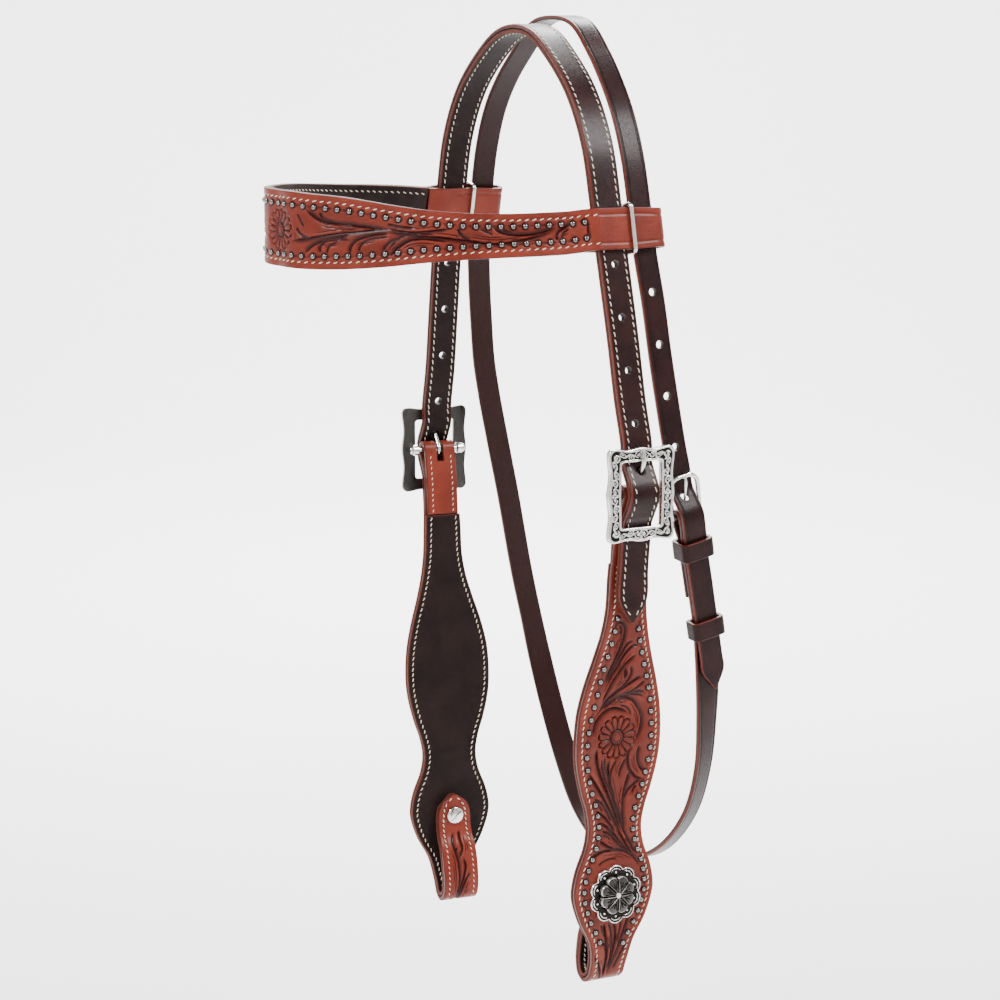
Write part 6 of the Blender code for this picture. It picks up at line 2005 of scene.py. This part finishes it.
    def make_keeper(self, word: str, drop: float, layers: int, shift: float, body: str,
                    looks: Finishes) -> None:
        """Make one keeper round a number of strap layers."""
        inner = (STOCK.throat_width + 2 * STOCK.loose,
                 (layers - 1) * self.layer_step + STOCK.throat + 2 * STOCK.loose)
        wall, tall = self.keeper_wall, self.keeper_height
        lower, upper = (self.at(self.main_out(-drop + step) + shift, -drop + step)
                        for step in (-tall, tall))
        table = axes_matrix(self.at(self.main_out(-drop) + shift, -drop), upper - lower,
                            self.back_way)
        points, ways = rounded(inner[0] + wall, inner[1] + wall, wall, 8, (14, 8))
        rise = np.concatenate((np.linspace(-1, -0.86, 5), np.linspace(-0.7, 0.7, 12),
                               np.linspace(0.86, 1, 5)))
        bow = np.sqrt(np.clip(1 - ((np.abs(rise) - 0.86) / 0.14).clip(0) ** 2, 0, 1))
        crease = np.exp(-((np.abs(rise) - 0.66) / 0.06) ** 2) * 0.12
        outer = np.stack((wall / 2 * (0.35 + 0.65 * bow - crease), rise * tall / 2), -1)
        back = np.stack((-wall / 2 * (0.6 + 0.4 * bow[::-1]), -rise * tall / 2), -1)
        section = np.concatenate((outer, back[1:-1]))
        stain = np.concatenate((5 * crease, np.zeros(len(back) - 2)))
        worn = np.concatenate((np.clip((np.abs(rise) - 0.8) / 0.2, 0, 1),
                               np.zeros(len(back) - 2)))
        keeper = ring(f"throatlatch_{word}_keeper_loop", placed(table, flat_to_space(points)),
                      flat_to_space(ways) @ table[:, :3].T, table[:, 2], section,
                      stain, worn)
        dress(keeper, looks.dark, body, Slot.DARK, f"throatlatch_{word}_keeper")


def arch(half: float, top: float, foot: float, corner: float) -> Array:
    """Return the points of a straight-sided outline with two round top corners."""
    corners_at = ((half - corner, 0.0), (corner - half, math.pi / 2))
    stops = [np.array((half, foot)), np.array((half, top - corner))]
    points = [stops[0] + (stops[1] - stops[0]) * k / 24 for k in range(24)]
    for centre_x, start in corners_at:
        for step in range(13):
            angle = start + math.pi / 2 * step / 12
            points.append(np.array((centre_x + corner * math.cos(angle),
                                    top - corner + corner * math.sin(angle))))
        if start == 0.0:
            across = np.array((corner - half, top)) - points[-1]
            points += [points[-1] + across * k / 8 for k in range(1, 8)]
    ends = [np.array((-half, top - corner)), np.array((-half, foot)), np.array((half, foot))]
    points += [ends[0] + (ends[1] - ends[0]) * k / 24 for k in range(1, 24)]
    points += [ends[1] + (ends[2] - ends[1]) * k / 24 for k in range(24)]
    return np.array(points)


# Studio

@dataclass(frozen=True)
class Studio:
    """Pale floor that curves up all round, soft lights and the camera of the photograph."""
    floor: float = -0.62
    reach: float = 2.6
    azimuth: float = math.radians(61)
    elevation: float = math.radians(9.07)
    distance: float = 1.503
    target: tuple = (0.0, -0.015, -0.236)
    lens: float = 105.5

    def axes(self) -> tuple[Array, Array, Array]:
        """Return the camera's ways right, up and back."""
        az, el = self.azimuth, self.elevation
        back = np.array((math.sin(az) * math.cos(el), -math.cos(az) * math.cos(el), math.sin(el)))
        right = np.array((math.cos(az), math.sin(az), 0))
        return right, np.cross(back, right), back

    def build(self) -> None:
        """Make the floor, the lights, the world and the camera."""
        turns = np.linspace(0, math.pi / 2, 9)
        rings = [(0.01, 0.0), (self.reach, 0.0)]
        rings += [(self.reach + 0.9 * math.sin(a), 0.9 * (1 - math.cos(a))) for a in turns[1:]]
        rings += [(self.reach + 0.9, 2.2), (self.reach + 0.95, 2.2), (self.reach + 0.95, -0.05),
                  (0.01, -0.05)]
        floor = turned("studio_floor", [(r, z + self.floor) for r, z in rings], 96)
        g = Graph("studio_paper")
        place = g.node("TexCoord").outputs["Object"]
        g.feed(g.shader.inputs["Base Color"],
               g.mix(g.noise(3, 2, place), colour(0.86, 0.855, 0.85), colour(0.89, 0.885, 0.88)))
        g.shader.inputs["Roughness"].default_value = 0.9
        floor.data.materials.append(g.material)
        world = bpy.data.worlds.new("studio_world")
        world.use_nodes = True
        world.node_tree.nodes["Background"].inputs[0].default_value = (0.96, 0.97, 1.0, 1)
        world.node_tree.nodes["Background"].inputs[1].default_value = 0.32
        bpy.context.scene.world = world
        self.lamp("key", (-0.85, 1.05, 1.05), 36, 0.6, (0, 0, 0))
        self.lamp("side", (1.0, 0.95, 0.6), 22, 0.45, (0, 0, 0))
        self.lamp("backdrop", (0.0, 1.75, -1.5), 230, 1.6, (0, -0.9, -2.3))
        self.camera()

    def lamp(self, name: str, offset: tuple, energy: float, size: float, aim: tuple) -> None:
        """Add a large soft light, placed and aimed by the camera's right, up and back."""
        axes = np.column_stack(self.axes())
        place = np.array(self.target) + axes @ np.array(offset)
        bpy.ops.object.light_add(type="AREA", location=place)
        lamp = bpy.context.object
        lamp.name = f"studio_{name}"
        lamp.data.energy, lamp.data.size = energy, size
        way = Vector(np.array(self.target) + axes @ np.array(aim) - place)
        lamp.rotation_euler = way.to_track_quat("-Z", "Y").to_euler()

    def camera(self) -> None:
        """Add the camera at the photograph's angle."""
        right, up, back = self.axes()
        data = bpy.data.cameras.new("studio_camera")
        data.lens, data.sensor_width = self.lens, 36
        data.shift_x, data.shift_y = -0.001, -0.0011
        camera = bpy.data.objects.new("studio_camera", data)
        bpy.context.collection.objects.link(camera)
        matrix = np.eye(4)
        matrix[:3, :3] = np.column_stack((right, up, back))
        matrix[:3, 3] = np.array(self.target) + back * self.distance
        camera.matrix_world = Matrix(matrix.tolist())
        bpy.context.scene.camera = camera


def main() -> None:
    """Build the headstall and the studio."""
    logging.basicConfig(level=logging.INFO, format="%(name)s: %(message)s")
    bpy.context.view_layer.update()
    looks = Finishes()
    crown = Crown()
    throat = Throatlatch()
    crown.build(looks)
    throat.build(looks)
    Browband(crown.route, throat.route).build(looks)
    for side in SIDES:
        CartBuckle(side).build(looks)
        Cheek(side).build(looks)
        Concho(side).build(looks)
    Studio().build()
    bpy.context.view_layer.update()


if __name__ == "__main__":
    main()
